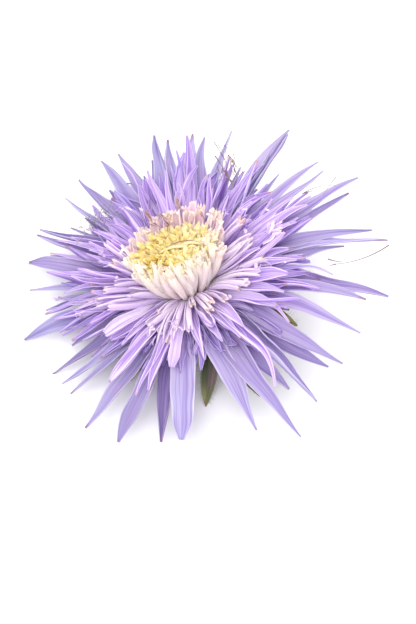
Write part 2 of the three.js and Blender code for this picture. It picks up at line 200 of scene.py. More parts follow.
# Small white scraps of tubes among the rays: azimuth, reach, height and length
SCRAPS = [
    (42, 22.9, 11, 1.5), (32, 27.2, 10.5, 1.1), (123, 28.2, 9.5, 2.2), (117, 24.7, 10, 1.2),
    (237, 16.9, 4.4, 1.8), (235, 16.3, 4.6, 1.2), (265, 15.2, 5, 1.5), (154, 24.8, 8.4, 0.9),
    (157, 23.3, 8.4, 1), (358, 26.9, 7.2, 0.7), (335, 15.5, 7.4, 0.9),
]
# Small forked florets in front and crumpled lobes at the right: azimuth, reach and height of the
# foot, azimuth and slope that it points to, length and width, and how many forked styles it has
FORKS = [
    (238, 18.5, 3.4, 73, 30, 2.7, 0.9, 1), (259.5, 18.1, 3.6, 79, 30, 3.2, 1, 1),
    (248, 16.4, 3, 140, 10, 1.6, 0.7, 0), (8.1, 22.4, 10.4, 21, 6, 4.2, 0.6, 0),
    (15, 24.4, 10.4, 50, 20, 2.8, 1.5, 0), (16, 25.4, 10.4, 15, 10, 3, 1.4, 0),
    (14, 25.6, 10.6, -20, 0, 2, 1.1, 0),
]

# A centre line bends within this share of its length from either end
HANDLE = 0.35

# The brush leans back and left from the bloom's axis, and its foot is in front of it
BRUSH = dict(back=13, left=1.5, forward=0.6, sink=0.5)
# Rings of its florets from the outside in, and last the broad blades at its back: seeds, count, where
# they start and at which slope they leave, where they end and arrive, how far the front ones lean in,
# width, and how lilac and how golden they are
CREAM_RINGS = [
    dict(
        seed=51, looks=1581, count=38, root=2.4, base=0.6, leave=34, tip=13.4, height=12.4, arrive=58,
        inward=4.8, width=1.9, lilac=0.5, gold=0.5,
    ),
    dict(
        seed=57, looks=1767, count=34, root=2.8, base=2, leave=36, tip=12.2, height=13.6, arrive=70,
        inward=4.2, width=1.6, lilac=0.4, gold=0.8,
    ),
    dict(
        seed=53, looks=1643, count=30, root=4.4, base=5.2, leave=34, tip=10.6, height=14, arrive=84,
        inward=2.2, width=1.2, lilac=0.2, gold=1,
    ),
    dict(
        seed=59, looks=1829, count=38, root=3.6, base=3, leave=44, tip=14.4, height=15.6, arrive=66,
        inward=0, width=3, lilac=0.5, gold=0.8, only=(12, 168), curl=80, uneven=5.5, point=0.6, knobs=4,
        stray=20,
    ),
]
# Tubes that stand out behind the disc: azimuth, reach and height of the mouth, width, and how many
# knobs it carries
BACK_TUBES = [
    (73, 16.2, 17, 1.3, 3), (49, 15.4, 16, 1.3, 3), (33, 14.2, 15.2, 1.5, 3), (94, 14, 16, 1.9, 6),
    (102, 16, 15, 1.2, 2), (111, 15.5, 15, 1.3, 2), (64, 15.6, 16, 1.6, 1), (82, 15.2, 16, 1.6, 1),
    (134, 13.9, 14, 1.2, 2), (127, 13.5, 14, 1.5, 5), (129, 15.6, 13.4, 1.2, 2),
    (146, 15.5, 12, 1.4, 2), (142, 17, 12, 1.2, 2), (156, 15, 12.5, 1.5, 2), (57, 13.6, 15.8, 1.7, 1),
    (88, 13, 16.4, 1.5, 1), (119, 14, 15, 1.5, 2), (106, 13.4, 15.6, 1.6, 1), (68, 13, 16, 1.5, 2),
    (41, 13.2, 15.4, 1.4, 1), (24, 14, 14.4, 1.5, 2), (98, 15.2, 14.6, 1.3, 0),
    (78, 13.4, 15.6, 1.5, 0), (137, 15, 13, 1.3, 0),
]
BACK_TUBE = dict(root=4, base=4, leave=50, arrive=66)
# Withered strips among them: azimuth, reach and height of the ends, and width
WITHERED = [
    (109.5, 15.8, 16.6, 100.4, 9.4, 16.2, 0.9), (106, 12.6, 16.8, 90, 7.2, 16.4, 0.6),
    (57, 12.8, 17, 46, 11.6, 17, 0.9), (117, 19.9, 16, 119.5, 13.6, 16, 0.8),
    (91.3, 20.9, 16, 86.4, 14.5, 16, 0.8), (122, 15, 15.6, 112, 10.6, 15.4, 0.8),
]
# Florets that lie across the disc, with their widths, and the thread over them
LYING = [
    ([(-4, 0.5, 14.4), (-2, 0.9, 15.1), (0.5, 0.9, 15.3), (3.4, 0.6, 15.2)], 0.5),
    ([(3, 1.6, 14.6), (5, 2.2, 15.2), (7.5, 2, 15.4), (9.6, 1.4, 15.2)], 0.7),
    ([(1, 1.1, 14.6), (3, 1.7, 15.3), (5.5, 1.4, 15.5), (8, 0.4, 15.2)], 0.6),
]
THREAD_ACROSS = [(-2, 0.5, 15.7), (4.3, 0.9, 16.4), (9.2, -1.9, 15.3)]
# What the brush's front, back and right add, and how far its florets stray
CREAM_FRONT = dict(curl=40, rise=1.4)
CREAM_BACK = dict(sink=2.4, lilac=0.7)
CREAM_RIGHT = dict(azimuth=15, rise=2.2, inward=1.4)
CREAM_SCATTER = dict(azimuth=7, sway=14, tip=2, height=3)
# The disc: small florets and curled lobes on a crown that falls to its edge
DISC = dict(
    seed=71, count=110, lobes=250, shift=31, back=0.2, radius=9.9, crown=12.4, fall=0.4, sunk=0.6,
    splay=0.14,
)

# Bracts: azimuth of the tip, reach, azimuth half way along, width, and height above the surface
BRACTS = [
    (271, 26.2, 291, 4.6, 0), (300, 31, 302, 5, 6), (322, 28, 320, 5.5, 8), (346, 27, 348, 5, 9),
    (12, 25, 12, 5.5, 11), (40, 24, 42, 5, 7), (68, 23, 68, 5.5, 0), (98, 25, 96, 5, 4),
    (125, 26, 125, 5, 4), (150, 25, 152, 5.5, 0), (176, 26, 176, 5, 2), (202, 25, 202, 5, 2),
    (228, 27, 226, 5, 3), (250, 26, 250, 5, 3),
]
LONG_BRACTS = [
    (146, 36, 145, 4.2, 6), (131, 37, 133, 4, 9), (28, 41, 27, 4, 17), (66, 40, 66, 4.2, 14),
    (341, 27.5, 348, 4.4, 19.5),
]
BRACT = dict(radius=5.4, height=-3.2, arch=14)
HAIRS = dict(step=0.75, length=1.5, thick=0.08)

# Dry threads caught among the back rays, the grey hairs left of them, a long bowed one at the right
# and brown scraps on the brush: azimuth, reach and height of the ends, how far they bow, and
# thickness
THREADS = [
    (78.9, 44.7, 7, 71.5, 37.5, 7, -0.1, 0.2), (77.2, 43.6, 7, 73.9, 40.9, 7, 0, 0.15),
    (71.5, 37.5, 7, 66.9, 32.3, 7, 0.1, 0.3), (76.8, 39.3, 7.5, 70.1, 34.4, 7.5, -0.1, 0.3),
    (70.1, 34.4, 7.5, 66.4, 31.3, 7.5, -0.3, 0.45), (71.6, 39.9, 7.5, 66.4, 35.5, 7.5, -0.5, 0.3),
    (66.4, 35.5, 7.5, 62.3, 34, 7.5, 0.4, 0.28), (69.3, 38, 7.5, 64.5, 33.6, 7.5, 0.5, 0.22),
    (69.3, 39.1, 7, 65.6, 36, 7, 0, 0.18), (68.3, 32.8, 8.6, 65.2, 32.8, 8.6, 0.8, 0.5),
    (66.6, 31.2, 8.6, 63.5, 30.2, 8.6, -0.4, 0.5), (64.1, 30.8, 8.8, 61, 28.8, 8.8, -0.3, 0.45),
    (71.8, 39.9, 7, 62.2, 35.5, 7, 0.3, 0.14), (74.9, 43.7, 7, 72.3, 41, 7, -0.2, 0.16),
    (4.7, 53.5, 0.6, 1.2, 39.3, 0.6, -1.2, 0.3), (1, 39.3, 0.8, 0.5, 37.8, 0.8, 0.1, 0.25),
    (4.1, 37.4, 0.8, 1.4, 41.2, 0.8, 0.2, 0.28), (34.8, 38.9, 5, 29.4, 47.2, 5, -1.1, 0.16),
    (32.4, 48.9, 5, 28.9, 42.9, 5, 0.1, 0.16), (34.6, 39.5, 5, 30.3, 43.2, 5, -0.5, 0.14),
    (115.1, 37.4, 7, 112.7, 35.9, 7, -0.2, 0.35), (73.5, 42, 7.5, 67.8, 37, 7.5, 0.6, 0.1),
    (75.5, 41, 7.2, 69.4, 35, 7.6, -0.5, 0.1), (70.3, 41, 7.4, 65, 33, 7.8, -0.7, 0.12),
    (72.5, 38.4, 8, 66.8, 30.5, 8.6, 0.5, 0.14), (67.5, 36.4, 8, 60.8, 31, 8.4, -0.4, 0.12),
    (70.5, 34, 8.6, 63, 33, 8.6, 0.7, 0.1), (74, 35.6, 8, 67, 29.5, 9, 0.2, 0.18),
]
GREY_HAIRS = dict(
    seed=977, count=44, azimuth=(128, 147), reach=(28, 34), height=(8, 9.5), length=3.6, thick=0.15,
)
RECEPTACLE = [(0, -6.3), (2.1, -6.3), (3.6, -5.2), (6, -3.6), (6.9, -2.2), (6.7, -1.2), (0, -1.2)]
RAY_CORE = [
    (0, -0.9), (6.6, -0.9), (7.5, -0.2), (7.1, 0.5), (5.8, 0.7), (4.4, 0.3), (3.6, -0.3), (0, -0.3),
]
CREAM_CORE = [(0, 1.1), (2.4, 1.1), (3.6, 2.1), (4.8, 3.9), (6.4, 8), (0, 8)]
DISC_CORE = [(0, 8.4), (5.2, 8.4), (7, 10), (7.3, 11.2), (6, 12), (0, 12.6)]
STEM = dict(top=-6.6, radius=1.9, rib=0.12)

# The photograph's camera: its height above level, its distance, the size of a pixel at the florets'
# roots, and where these lie in the 416 by 624 frame
CAMERA = dict(elevation=54, distance=450, pixel=0.2624, root_x=189, root_y=290)
FRAME_SIZE = (416, 624)
SENSOR = 36

# Lights by place, size and power, what they point at, the light of the world, and the floor
LIGHTS = dict(key=((-0.15, -0.3, 0.75), 0.6, 3.5), fill=((0.35, 0.45, 0.6), 0.6, 1.5))
LIT = (0, 0, 0.018)
WORLD_LIGHT = 1.5
FLOOR = dict(colour=(0.8, 0.8, 0.8), half=1.5)

# A knob's profile and its place on the colours, and a disc floret's rings: radius, share of its
# length, how far its lobes open there, and place on the colours
KNOB = [(0, -1), (0.75, -0.65), (1, 0.05), (0.7, 0.7), (0, 1)]
KNOB_PLACE = (0.5, 0.94)
FLORET_RINGS = [
    (0.55, 0, 0, 0), (0.6, 0.45, 0, 0.3), (0.75, 0.75, 0.05, 0.55), (1, 0.92, 0.5, 0.8), (1.2, 1, 1, 1),
    (0.95, 0.96, 0.9, 0.9), (0.62, 0.86, 0.4, 0.5), (0.35, 0.7, 0, 0.1),
]

# How petals of each kind are made: rows along them, thickness, and how far their sides roll up, at the
# foot where they open further out
MADE = dict(
    outer=(34, 0.24, 130), narrow=(28, 0.2, 168), placed=(30, 0.22, 150), style=(8, 0.06, 170),
    scrap=(10, 0.16, 60), strip=(14, 0.18, 90), lobe=(10, 0.16, 150), bract=(26, 0.42, 22),
)
TUBE_THICK = 0.14
# The thickness of their rims as a share of that, and the width that is left at the tips
RIM = 0.45
BLUNT = dict(outer=0.08, placed=0.1, strip=0.06, bract=0.06)

# Where the random draws of each kind start, and the step from one of its florets to the next
SEEDS = dict(
    outer=(301, 17), middle_rays=(401, 13), under_rays=(431, 13), inner_rays=(501, 13),
    front_rays=(601, 13), placed=(811, 23), stubs=(671, 11), quills=(701, 11), violet=(751, 11),
    forks=(853, 17), scraps=(821, 13), back=(1769, 7), withered=(967, 11), lobes=(497, 3),
    lying=(69, 1), bracts=(911, 19), threads=(881, 5),
)

# Columns across a strap from edge to edge, close together at the rims, and rows along a tube, close
# together at its mouth
WIDE = np.array([-1, -0.95, -0.84, -0.68, -0.5, -0.32, -0.15, 0, 0.15, 0.32, 0.5, 0.68, 0.84, 0.95, 1])
NARROW = np.array([-1, -0.93, -0.76, -0.5, -0.25, 0, 0.25, 0.5, 0.76, 0.93, 1])
ROUND = np.linspace(-1, 1, 13)
FINE = np.linspace(-1, 1, 7)
TUBE_ROWS = np.array([0, 0.12, 0.24, 0.36, 0.48, 0.6, 0.7, 0.79, 0.86, 0.91, 0.95, 0.98, 1])


# A seeded sequence of numbers from 0 to 1
def dice(seed):
    state = seed

    def roll():
        nonlocal state
        state = state * 16807 % 2147483647
        return state / 2147483647

    return roll


# The draws of one floret of a kind
def draws(kind, index=0):
    start, step = SEEDS[kind]
    return dice(start + step * index)


def signed(roll):
    return 2 * roll() - 1


def jitter(roll, size):
    return np.array([signed(roll), signed(roll), signed(roll)]) * size


def lerp(a, b, share):
    return a + (b - a) * share


def smooth(value, start, end):
    share = np.clip((value - start) / (end - start), 0, 1)
    return share * share * (3 - 2 * share)


def rows(count):
    return np.linspace(0, 1, count)


def wave(roll, shares, size, turns):
    return size * np.sin(2 * math.pi * (turns * (0.7 + 0.6 * roll()) * shares + roll()))


# The shares along a petal of some kind where its rows stand, its thickness, and how far it is rolled
def made(kind):
    count, thick, rolled = MADE[kind]
    return rows(count), thick, rolled


def sine(degrees):
    return math.sin(degrees * DEGREE)


def cosine(degrees):
    return math.cos(degrees * DEGREE)


# How far an azimuth points to the front, from 0 to 1
def frontness(azimuth):
    return max(-sine(azimuth), 0)


def direction(azimuth, slope):
    return np.array([cosine(slope) * cosine(azimuth), cosine(slope) * sine(azimuth), sine(slope)])


def cylindrical(radius, azimuth, height):
    return np.array([radius * cosine(azimuth), radius * sine(azimuth), height])


# The same in the order in which the tables give a place
def spot_at(azimuth, reach, height):
    return cylindrical(reach, azimuth, height)


# Centre lines, as in the solids: four points of a Bezier curve and the level direction across it
def centre_line(root, tip, leave, arrive, azimuth):
    handle = np.linalg.norm(tip - root) * HANDLE
    points = np.array([root, root + leave * handle, tip - arrive * handle, tip])
    return points, direction(azimuth + 90, 0)


def swept_line(tip_azimuth, reach, mid_azimuth, slope, arch, root_radius, root_height):
    sweep = mid_azimuth - tip_azimuth
    root_azimuth = mid_azimuth + HANDLE * sweep
    tip_height = root_height + (reach - root_radius) * math.tan(slope * DEGREE)
    return centre_line(
        cylindrical(root_radius, root_azimuth, root_height),
        cylindrical(reach, tip_azimuth, tip_height),
        direction(root_azimuth, slope + arch),
        direction(tip_azimuth - sweep, slope - arch),
        mid_azimuth,
    )


def straight_line(start, end, level, rise=0):
    step, raised = (end - start) / 3, np.array([0, 0, rise])
    return np.array([start, start + step + raised, end - step + raised, end]), level


# A line from the florets' feet to a tip at a given height, which starts higher in front, clear of the
# strewn rays
def placed_line(azimuth, reach, height, mid_azimuth, arch, radius):
    base = PLACED_BASE[0] + PLACED_BASE[1] * frontness(azimuth)
    slope = math.atan2(height - base, reach - radius) / DEGREE
    return swept_line(azimuth, reach, mid_azimuth, slope, arch, radius, base)


def slope_at(slope, azimuth):
    return slope[0] + slope[1] * sine(azimuth)


def outer_line(ray):
    tip_azimuth, reach, mid_azimuth, _, beneath = ray
    slope = slope_at(OUTER_SLOPE, tip_azimuth) - beneath * OUTER["dip"]
    height = OUTER["lower"] if beneath else OUTER["upper"]
    return swept_line(tip_azimuth, reach, mid_azimuth, slope, OUTER["arch"], OUTER["radius"], height)


# Two directions at right angles, turned from the first one towards the second
def turned(first, second, shares, degrees):
    angle = (degrees * np.ones_like(shares) * DEGREE)[:, None]
    cos, sin = np.cos(angle), np.sin(angle)
    return first * cos + second * sin, second * cos - first * sin


# Points on a line, with the directions along it, across it and out of its face. bend and sway turn
# the line up and sideways as it goes, and twist rolls the faces about it, in degrees at each share.
def stations(line, shares, bend=0, sway=0, twist=0):
    points, level = line
    s = shares[:, None]
    centre = (
        (1 - s) ** 3 * points[0] + 3 * (1 - s) ** 2 * s * points[1]
        + 3 * (1 - s) * s**2 * points[2] + s**3 * points[3]
    )
    along = (
        (1 - s) ** 2 * (points[1] - points[0]) + 2 * (1 - s) * s * (points[2] - points[1])
        + s**2 * (points[3] - points[2])
    )
    along /= np.linalg.norm(along, axis=1, keepdims=True)
    across = level - along * (along @ level)[:, None]
    across /= np.linalg.norm(across, axis=1, keepdims=True)
    out = np.cross(along, across)
    along, out = turned(along, out, shares, bend)
    along, across = turned(along, across, shares, sway)
    across, out = turned(across, out, shares, twist)
    steps = np.linalg.norm(np.diff(centre, axis=0), axis=1, keepdims=True)
    path = np.cumsum(steps * (along[1:] + along[:-1]) / 2, axis=0)
    return np.concatenate([centre[:1], centre[:1] + path]), along, across, out


# The last of a line's stations
def mouth_of(line):
    return (part[-1] for part in stations(line, rows(8)))


def grid_faces(count, columns, loop=False):
    i, j = np.meshgrid(np.arange(count - 1), np.arange(columns if loop else columns - 1), indexing="ij")
    a = i * columns + j
    b = i * columns + (j + 1) % columns
    return np.stack([a, a + columns, b + columns, b], -1).reshape(-1, 4)


# Shells are closed: their points, their faces in blocks, and each point's place across and along.
# This one is a thin strap along a line. Its section is walked from the midline to either edge, and
# faces the angle given for each row and column on the way. wide is the section's width as seen from
# above, thick its thickness, and push moves points along the line to cut teeth in the tip.
def strap(line, shares, wide, angle, thick, columns=WIDE, bend=0, sway=0, twist=0, push=0):
    centre, along, across, out = stations(line, shares, bend, sway, twist)
    n, m = len(shares), len(columns)
    angle = angle * DEGREE * np.ones((n, m))

    def walked(steps):
        walk = np.cumsum((steps[:, 1:] + steps[:, :-1]) / 2 * np.diff(columns), axis=1)
        walk = np.concatenate([np.zeros((n, 1)), walk], axis=1)
        return walk - walk[:, m // 2:m // 2 + 1]

    side, rise = walked(np.cos(angle)), walked(np.sin(angle))
    scale = (wide * np.ones(n))[:, None] / np.ptp(side, axis=1, keepdims=True)
    side, rise = side * scale, rise * scale
    rise = rise - (rise.max(1, keepdims=True) + rise.min(1, keepdims=True)) / 2
    shell = (thick * np.ones(n))[:, None, None] * (RIM + (1 - RIM) * (1 - columns**4))[:, None]
    top = (
        centre[:, None] + along[:, None] * (push * np.ones((n, m)))[..., None]
        + across[:, None] * side[..., None] + out[:, None] * rise[..., None]
    )
    under = across[:, None] * np.sin(angle)[..., None] - out[:, None] * np.cos(angle)[..., None]
    points = np.concatenate([top, top + under * shell]).reshape(-1, 3)
    upper, index, low = grid_faces(n, m), np.arange(n * m).reshape(n, m), n * m
    border = np.concatenate([index[:-1, 0], index[-1, :-1], index[:0:-1, -1], index[0, :0:-1]])
    after = np.roll(border, -1)
    walls = np.stack([border, border + low, after + low, after], -1)
    spot = np.stack(np.broadcast_arrays((columns + 1) / 2, shares[:, None]), -1).reshape(-1, 2)
    return points, [upper, upper[:, ::-1] + low, walls], np.concatenate([spot, spot])


# A shell of rings of points, closed by fans round its two end points, which lie at 0 and at top
def ring_body(rings, ends, ups, across=0.5, top=1):
    count, sides = rings.shape[:2]
    k, last = np.arange(sides), (count - 1) * sides
    after, foot = (k + 1) % sides, np.full(sides, count * sides)
    faces = [
        grid_faces(count, sides, loop=True)[:, ::-1],
        np.stack([foot, after, k], -1),
        np.stack([foot + 1, last + k, last + after], -1),
    ]
    columns = np.append(np.tile(across * np.ones(sides), count), [0.5, 0.5])
    places = np.stack([columns, np.append(np.repeat(ups, sides), [0, top])], -1)
    return np.concatenate([rings.reshape(-1, 3), ends]), faces, places


def turnings(sides):
    return np.linspace(0, 2 * math.pi, sides, endpoint=False)


# A lathed body: rings of (radius, height) from the axis at its foot to the axis at its top, ribbed
def lathed(profile, sides, ribs=0, depth=0):
    turns = turnings(sides)
    rings = np.array(profile[1:-1], float)
    radius = rings[:, :1] + depth * np.sin(ribs * turns)
    height = np.repeat(rings[:, 1:], sides, 1)
    points = np.stack([radius * np.cos(turns), radius * np.sin(turns), height], -1)
    ends = [(0, 0, profile[0][1]), (0, 0, profile[-1][1])]
    return ring_body(points, ends, rows(len(rings)), turns / (2 * math.pi))


# The bloom's own frame, with the florets' roots at its origin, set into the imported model's frame
# as the solids are: the middle of the rays' outline lies over the origin
def turn(axis, degrees):
    c, s = cosine(degrees), sine(degrees)
    if axis == "x":
        return np.array([[1, 0, 0], [0, c, -s], [0, s, c]])
    return np.array([[c, 0, s], [0, 1, 0], [-s, 0, c]])


LEANING = turn("y", -LEAN)
TIPS = np.array([outer_line(ray)[0][-1] for ray in OUTER_RAYS]) @ LEANING.T
ROOT = np.append(-(TIPS.min(0) + TIPS.max(0))[:2] / 2, ROOT_HEIGHT)
BRUSH_TURN = turn("x", -BRUSH["back"]) @ turn("y", -BRUSH["left"])


def to_world(points):
    return points @ LEANING.T + ROOT


def in_brush(points):
    return points @ BRUSH_TURN.T + np.array([0, -BRUSH["forward"], -BRUSH["sink"]])


def in_disc(points):
    return in_brush(points + np.array([0, DISC["back"], 0]))


# Where a height above the surface lies in the bloom's frame, at x
def height_above(x, height):
    return (height - ROOT_HEIGHT - x * sine(LEAN)) / cosine(LEAN)


# Gathers shells, each with a tint of three shares, into one mesh object in metres
class Piece:
    def __init__(self, name):
        self.name, self.count = name, 0
        self.points, self.faces, self.places, self.tints = [], [], [], []

    def add(self, shell, tint, frame_of=None):
        points, blocks, places = shell
        self.points.append(frame_of(points) if frame_of else points)
        for block in blocks:
            self.faces += (block + self.count).tolist()
        self.places.append(places)
        self.tints.append(np.tile([*tint, 1.0], (len(points), 1)))
        self.count += len(points)

    def build(self, material, slot, *nodes):
        points = to_world(np.concatenate(self.points)) * MM
        points[:, 2] = np.maximum(points[:, 2], 0)
        mesh = bpy.data.meshes.new(self.name)
        mesh.from_pydata(points.tolist(), [], self.faces)
        corners = np.zeros(len(mesh.loops), int)
        mesh.loops.foreach_get("vertex_index", corners)
        places = np.concatenate(self.places)[corners]
        mesh.uv_layers.new(name="UVMap").data.foreach_set("uv", places.ravel())
        tints = mesh.attributes.new("tint", "FLOAT_COLOR", "POINT")
        tints.data.foreach_set("color", np.concatenate(self.tints).ravel())
        mesh.shade_smooth()
        mesh.materials.append(material)
        mesh.validate()
        piece = bpy.data.objects.new(self.name, mesh)
        bpy.context.scene.collection.objects.link(piece)
        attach(piece, "root")
        if nodes:
            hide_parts(*nodes)


# A material and its nodes, whose inputs are given by their order or by name
class Shader:
    def __init__(self, name):
        self.material = bpy.data.materials.new(name)
        self.material.use_nodes = True
        self.tree = self.material.node_tree
        self.tree.nodes.clear()

    def feed(self, socket, value):
        if isinstance(value, bpy.types.NodeSocket):
            self.tree.links.new(value, socket)
        else:
            socket.default_value = (*value, 1) if isinstance(value, tuple) else value

    def node(self, kind, *values, settings=None, **inputs):
        node = self.tree.nodes.new(kind)
        for key, value in (settings or {}).items():
            setattr(node, key, value)
        for key, value in [*enumerate(values), *inputs.items()]:
            self.feed(node.inputs[key], value)
        return node

    def maths(self, operation, *values):
        return self.node("ShaderNodeMath", *values, settings=dict(operation=operation)).outputs[0]

    def times(self, first, second):
        return self.maths("MULTIPLY", first, second)

    def off(self, value, level):
        return self.maths("ABSOLUTE", self.maths("SUBTRACT", value, level))

    def span(self, value, start, end, low=0.0, high=1.0):
        smoothed = dict(interpolation_type="SMOOTHSTEP")
        ranged = self.node("ShaderNodeMapRange", value, start, end, low, high, settings=smoothed)
        return ranged.outputs[0]

    def mixed(self, share, first, second, blend="MIX"):
        node = self.node("ShaderNodeMix", share, settings=dict(data_type="RGBA", blend_type=blend))
        self.feed(node.inputs[6], first)
        self.feed(node.inputs[7], second)
        return node.outputs[2]


# A petal's colours from root to tip, with painted shade deepening its channel and a painted highlight
# along its rims, fine veins along it and broad pale and dark bands, a painted highlight and a painted
# shadow side by side along the ridges of its folds, and light glowing through it. The tint's first
# share blends in the other palette, its second one darkens, for a darker tone and in places for painted
# shade, and its third one browns the tip.
def petal_material(
    name, root, middle, tip, other, pale_streak_and_highlight, channel_shade=None, vein=0.35, glow=0.45, brown=(0.34, 0.16, 0.10),
    tone_and_painted_shade_colour=(0.60, 0.50, 0.68), streak_and_fold_shadow=(0.27, 0.18, 0.52), ends=(0.45, 0.95), band=0.5, fold_highlight_and_shadow=0.6,
    blush=None, flank=None, filters=1.2,
):
    shader = Shader(name)
    maths, times, off, span = shader.maths, shader.times, shader.off, shader.span
    place = shader.node("ShaderNodeUVMap", settings=dict(uv_map="UVMap")).outputs[0]
    across, up = shader.node("ShaderNodeSeparateXYZ", place).outputs[:2]
    tint = shader.node("ShaderNodeAttribute", settings=dict(attribute_name="tint")).outputs["Color"]
    tints = shader.node("ShaderNodeSeparateColor", tint).outputs
    offset = maths("MULTIPLY_ADD", tints[0], 37.0, times(tints[1], 23.0))

    # Noise with so many spots across a petal and along it
    def noise(columns, lengths, shift=0.0, detail=3.0, roughness=0.5):
        spot = shader.node(
            "ShaderNodeCombineXYZ", times(across, columns), times(up, lengths),
            maths("ADD", offset, shift),
        ).outputs[0]
        return shader.node(
            "ShaderNodeTexNoise", Vector=spot, Scale=1.0, Detail=detail, Roughness=roughness,
        ).outputs[0]

    veins, patches = noise(14.0, 1.5, roughness=0.6), noise(3.0, 4.0)
    stripes, ridges = noise(5.5, 0.9, 5.3, detail=2.0), noise(5.0, 0.6, 11.9, detail=1.0)
    height = maths("ADD", up, maths("MULTIPLY_ADD", patches, 0.36, -0.18))
    edge = off(across, 0.5)
    colour = root
    for share, paint in (
        (span(height, 0.05, 0.5), middle),
        (span(height, *ends), tip),
        # painted shade in the middle of the channel
        (times(span(edge, 0.34, 0.05), span(patches, 0.3, 0.7, 0.25, 0.75)), channel_shade),
        (times(tints[0], span(patches, 0.3, 0.7, 0.6, 1.0)), other),
        (times(times(span(patches, 0.52, 0.66), span(tints[0], 0.3, 0.7)), 0.7), blush),
        (times(span(across, 0.35, 0.7), span(height, 0.9, 0.75)), flank),
        (times(span(stripes, 0.5, 0.36), band), pale_streak_and_highlight),
        (times(span(stripes, 0.52, 0.68), band), streak_and_fold_shadow),
        (times(span(veins, 0.46, 0.68), vein), streak_and_fold_shadow),
        # a painted shadow and a painted highlight side by side along the ridges of folds
        (times(span(off(ridges, 0.45), 0.07, 0.02), fold_highlight_and_shadow), streak_and_fold_shadow),
        (times(span(off(ridges, 0.54), 0.07, 0.02), fold_highlight_and_shadow), pale_streak_and_highlight),
        # a painted highlight along the rims
        (times(span(edge, 0.39, 0.485), 0.7), pale_streak_and_highlight),
    ):
        if paint:
            colour = shader.mixed(share, colour, paint)
    # The second share darkens towards this colour, for a darker tone and for painted shade
    darker_tone_and_painted_shade = shader.mixed(tints[1], (1.0, 1.0, 1.0), tone_and_painted_shade_colour)
    colour = shader.mixed(1.0, colour, darker_tone_and_painted_shade, "MULTIPLY")
    worn = maths("MULTIPLY_ADD", patches, 0.05, maths("MULTIPLY_ADD", tints[2], 0.09, up))
    colour = shader.mixed(span(worn, 1.035, 1.09, 0.0, 0.75), colour, brown)
    grain = maths("MULTIPLY_ADD", ridges, 2.0, veins)
    relief = shader.node("ShaderNodeBump", Strength=0.4, Distance=0.0002, Height=grain).outputs[0]
    surface = shader.node("ShaderNodeBsdfPrincipled", colour, Roughness=0.46, Normal=relief)
    surface.inputs["Specular IOR Level"].default_value = 0.3
    surface.inputs["Sheen Weight"].default_value = 0.1
    filtered = shader.node("ShaderNodeHueSaturation", Color=colour, Saturation=filters, Value=1.08)
    through = shader.node("ShaderNodeBsdfTranslucent", Color=filtered.outputs[0], Normal=relief)
    both = shader.node("ShaderNodeMixShader", glow, surface.outputs[0], through.outputs[0])
    shader.node("ShaderNodeOutputMaterial", Surface=both.outputs[0])
    return shader.material


# Most ray looks are deeper and more saturated violet at the root than in the middle: partly the
# florets' own colour and partly painted shade, where the roots lie deep under the other layers.
OUTER_LOOK = petal_material(
    "outer_ray", (0.50, 0.32, 0.68), (0.58, 0.46, 0.70), (0.56, 0.51, 0.70), (0.48, 0.50, 0.69),
    (0.81, 0.76, 0.87), (0.48, 0.36, 0.67), brown=(0.42, 0.26, 0.36), band=0.26, vein=0.45, glow=0.48,
    fold_highlight_and_shadow=0.24, blush=(0.62, 0.43, 0.64),
)
MIDDLE_LOOK = petal_material(
    "middle_ray", (0.62, 0.37, 0.74), (0.76, 0.57, 0.88), (0.78, 0.63, 0.90), (0.62, 0.54, 0.86),
    (0.93, 0.85, 0.97), (0.58, 0.38, 0.79), brown=(0.74, 0.52, 0.52), streak_and_fold_shadow=(0.42, 0.25, 0.68),
    glow=0.58, blush=(0.80, 0.58, 0.78),
)
INNER_LOOK = petal_material(
    "inner_ray", (0.66, 0.42, 0.76), (0.79, 0.60, 0.90), (0.82, 0.68, 0.93), (0.73, 0.56, 0.88),
    (0.94, 0.87, 0.98), (0.62, 0.42, 0.81), brown=(0.94, 0.76, 0.58), streak_and_fold_shadow=(0.44, 0.27, 0.69),
    glow=0.58, blush=(0.84, 0.62, 0.80),
)
# The under rays are deeper and more saturated violet all along, partly their own colour and partly
# painted shade, as they lie beneath the other layers.
UNDER_LOOK = petal_material(
    "under_ray", (0.58, 0.36, 0.79), (0.69, 0.51, 0.86), (0.71, 0.58, 0.86), (0.58, 0.51, 0.82),
    (0.88, 0.80, 0.94), (0.50, 0.31, 0.74), brown=(0.56, 0.36, 0.46), streak_and_fold_shadow=(0.36, 0.20, 0.64),
    glow=0.58,
)
PLACED_LOOK = petal_material(
    "placed_ray", (0.76, 0.56, 0.86), (0.76, 0.58, 0.88), (0.80, 0.66, 0.91), (0.96, 0.90, 0.97),
    (0.97, 0.92, 0.98), (0.60, 0.40, 0.80), brown=(0.86, 0.66, 0.62), streak_and_fold_shadow=(0.46, 0.29, 0.70),
    glow=0.56, band=0.35, blush=(0.84, 0.66, 0.80),
)
QUILL_LOOK = petal_material(
    "lilac_quill", (0.86, 0.75, 0.88), (0.94, 0.85, 0.94), (0.96, 0.90, 0.94), (0.74, 0.57, 0.88),
    (0.98, 0.95, 0.97), brown=(0.93, 0.83, 0.70), streak_and_fold_shadow=(0.62, 0.44, 0.77), ends=(0.7, 1), band=0.3,
    glow=0.52, fold_highlight_and_shadow=0.2,
)
# The cream tubes darken towards a warm golden brown: painted crevice shade on the core inside the
# brush, and a slightly darker tone on single tubes.
CREAM_LOOK = petal_material(
    "cream_tube", (0.90, 0.82, 0.70), (0.97, 0.93, 0.92), (0.98, 0.95, 0.86), (0.92, 0.74, 0.88),
    (0.98, 0.96, 0.94), glow=0.62, filters=1.0, brown=(0.96, 0.87, 0.62), tone_and_painted_shade_colour=(0.52, 0.36, 0.30),
    streak_and_fold_shadow=(0.82, 0.72, 0.70), ends=(0.72, 0.98), band=0.2, fold_highlight_and_shadow=0.2,
)
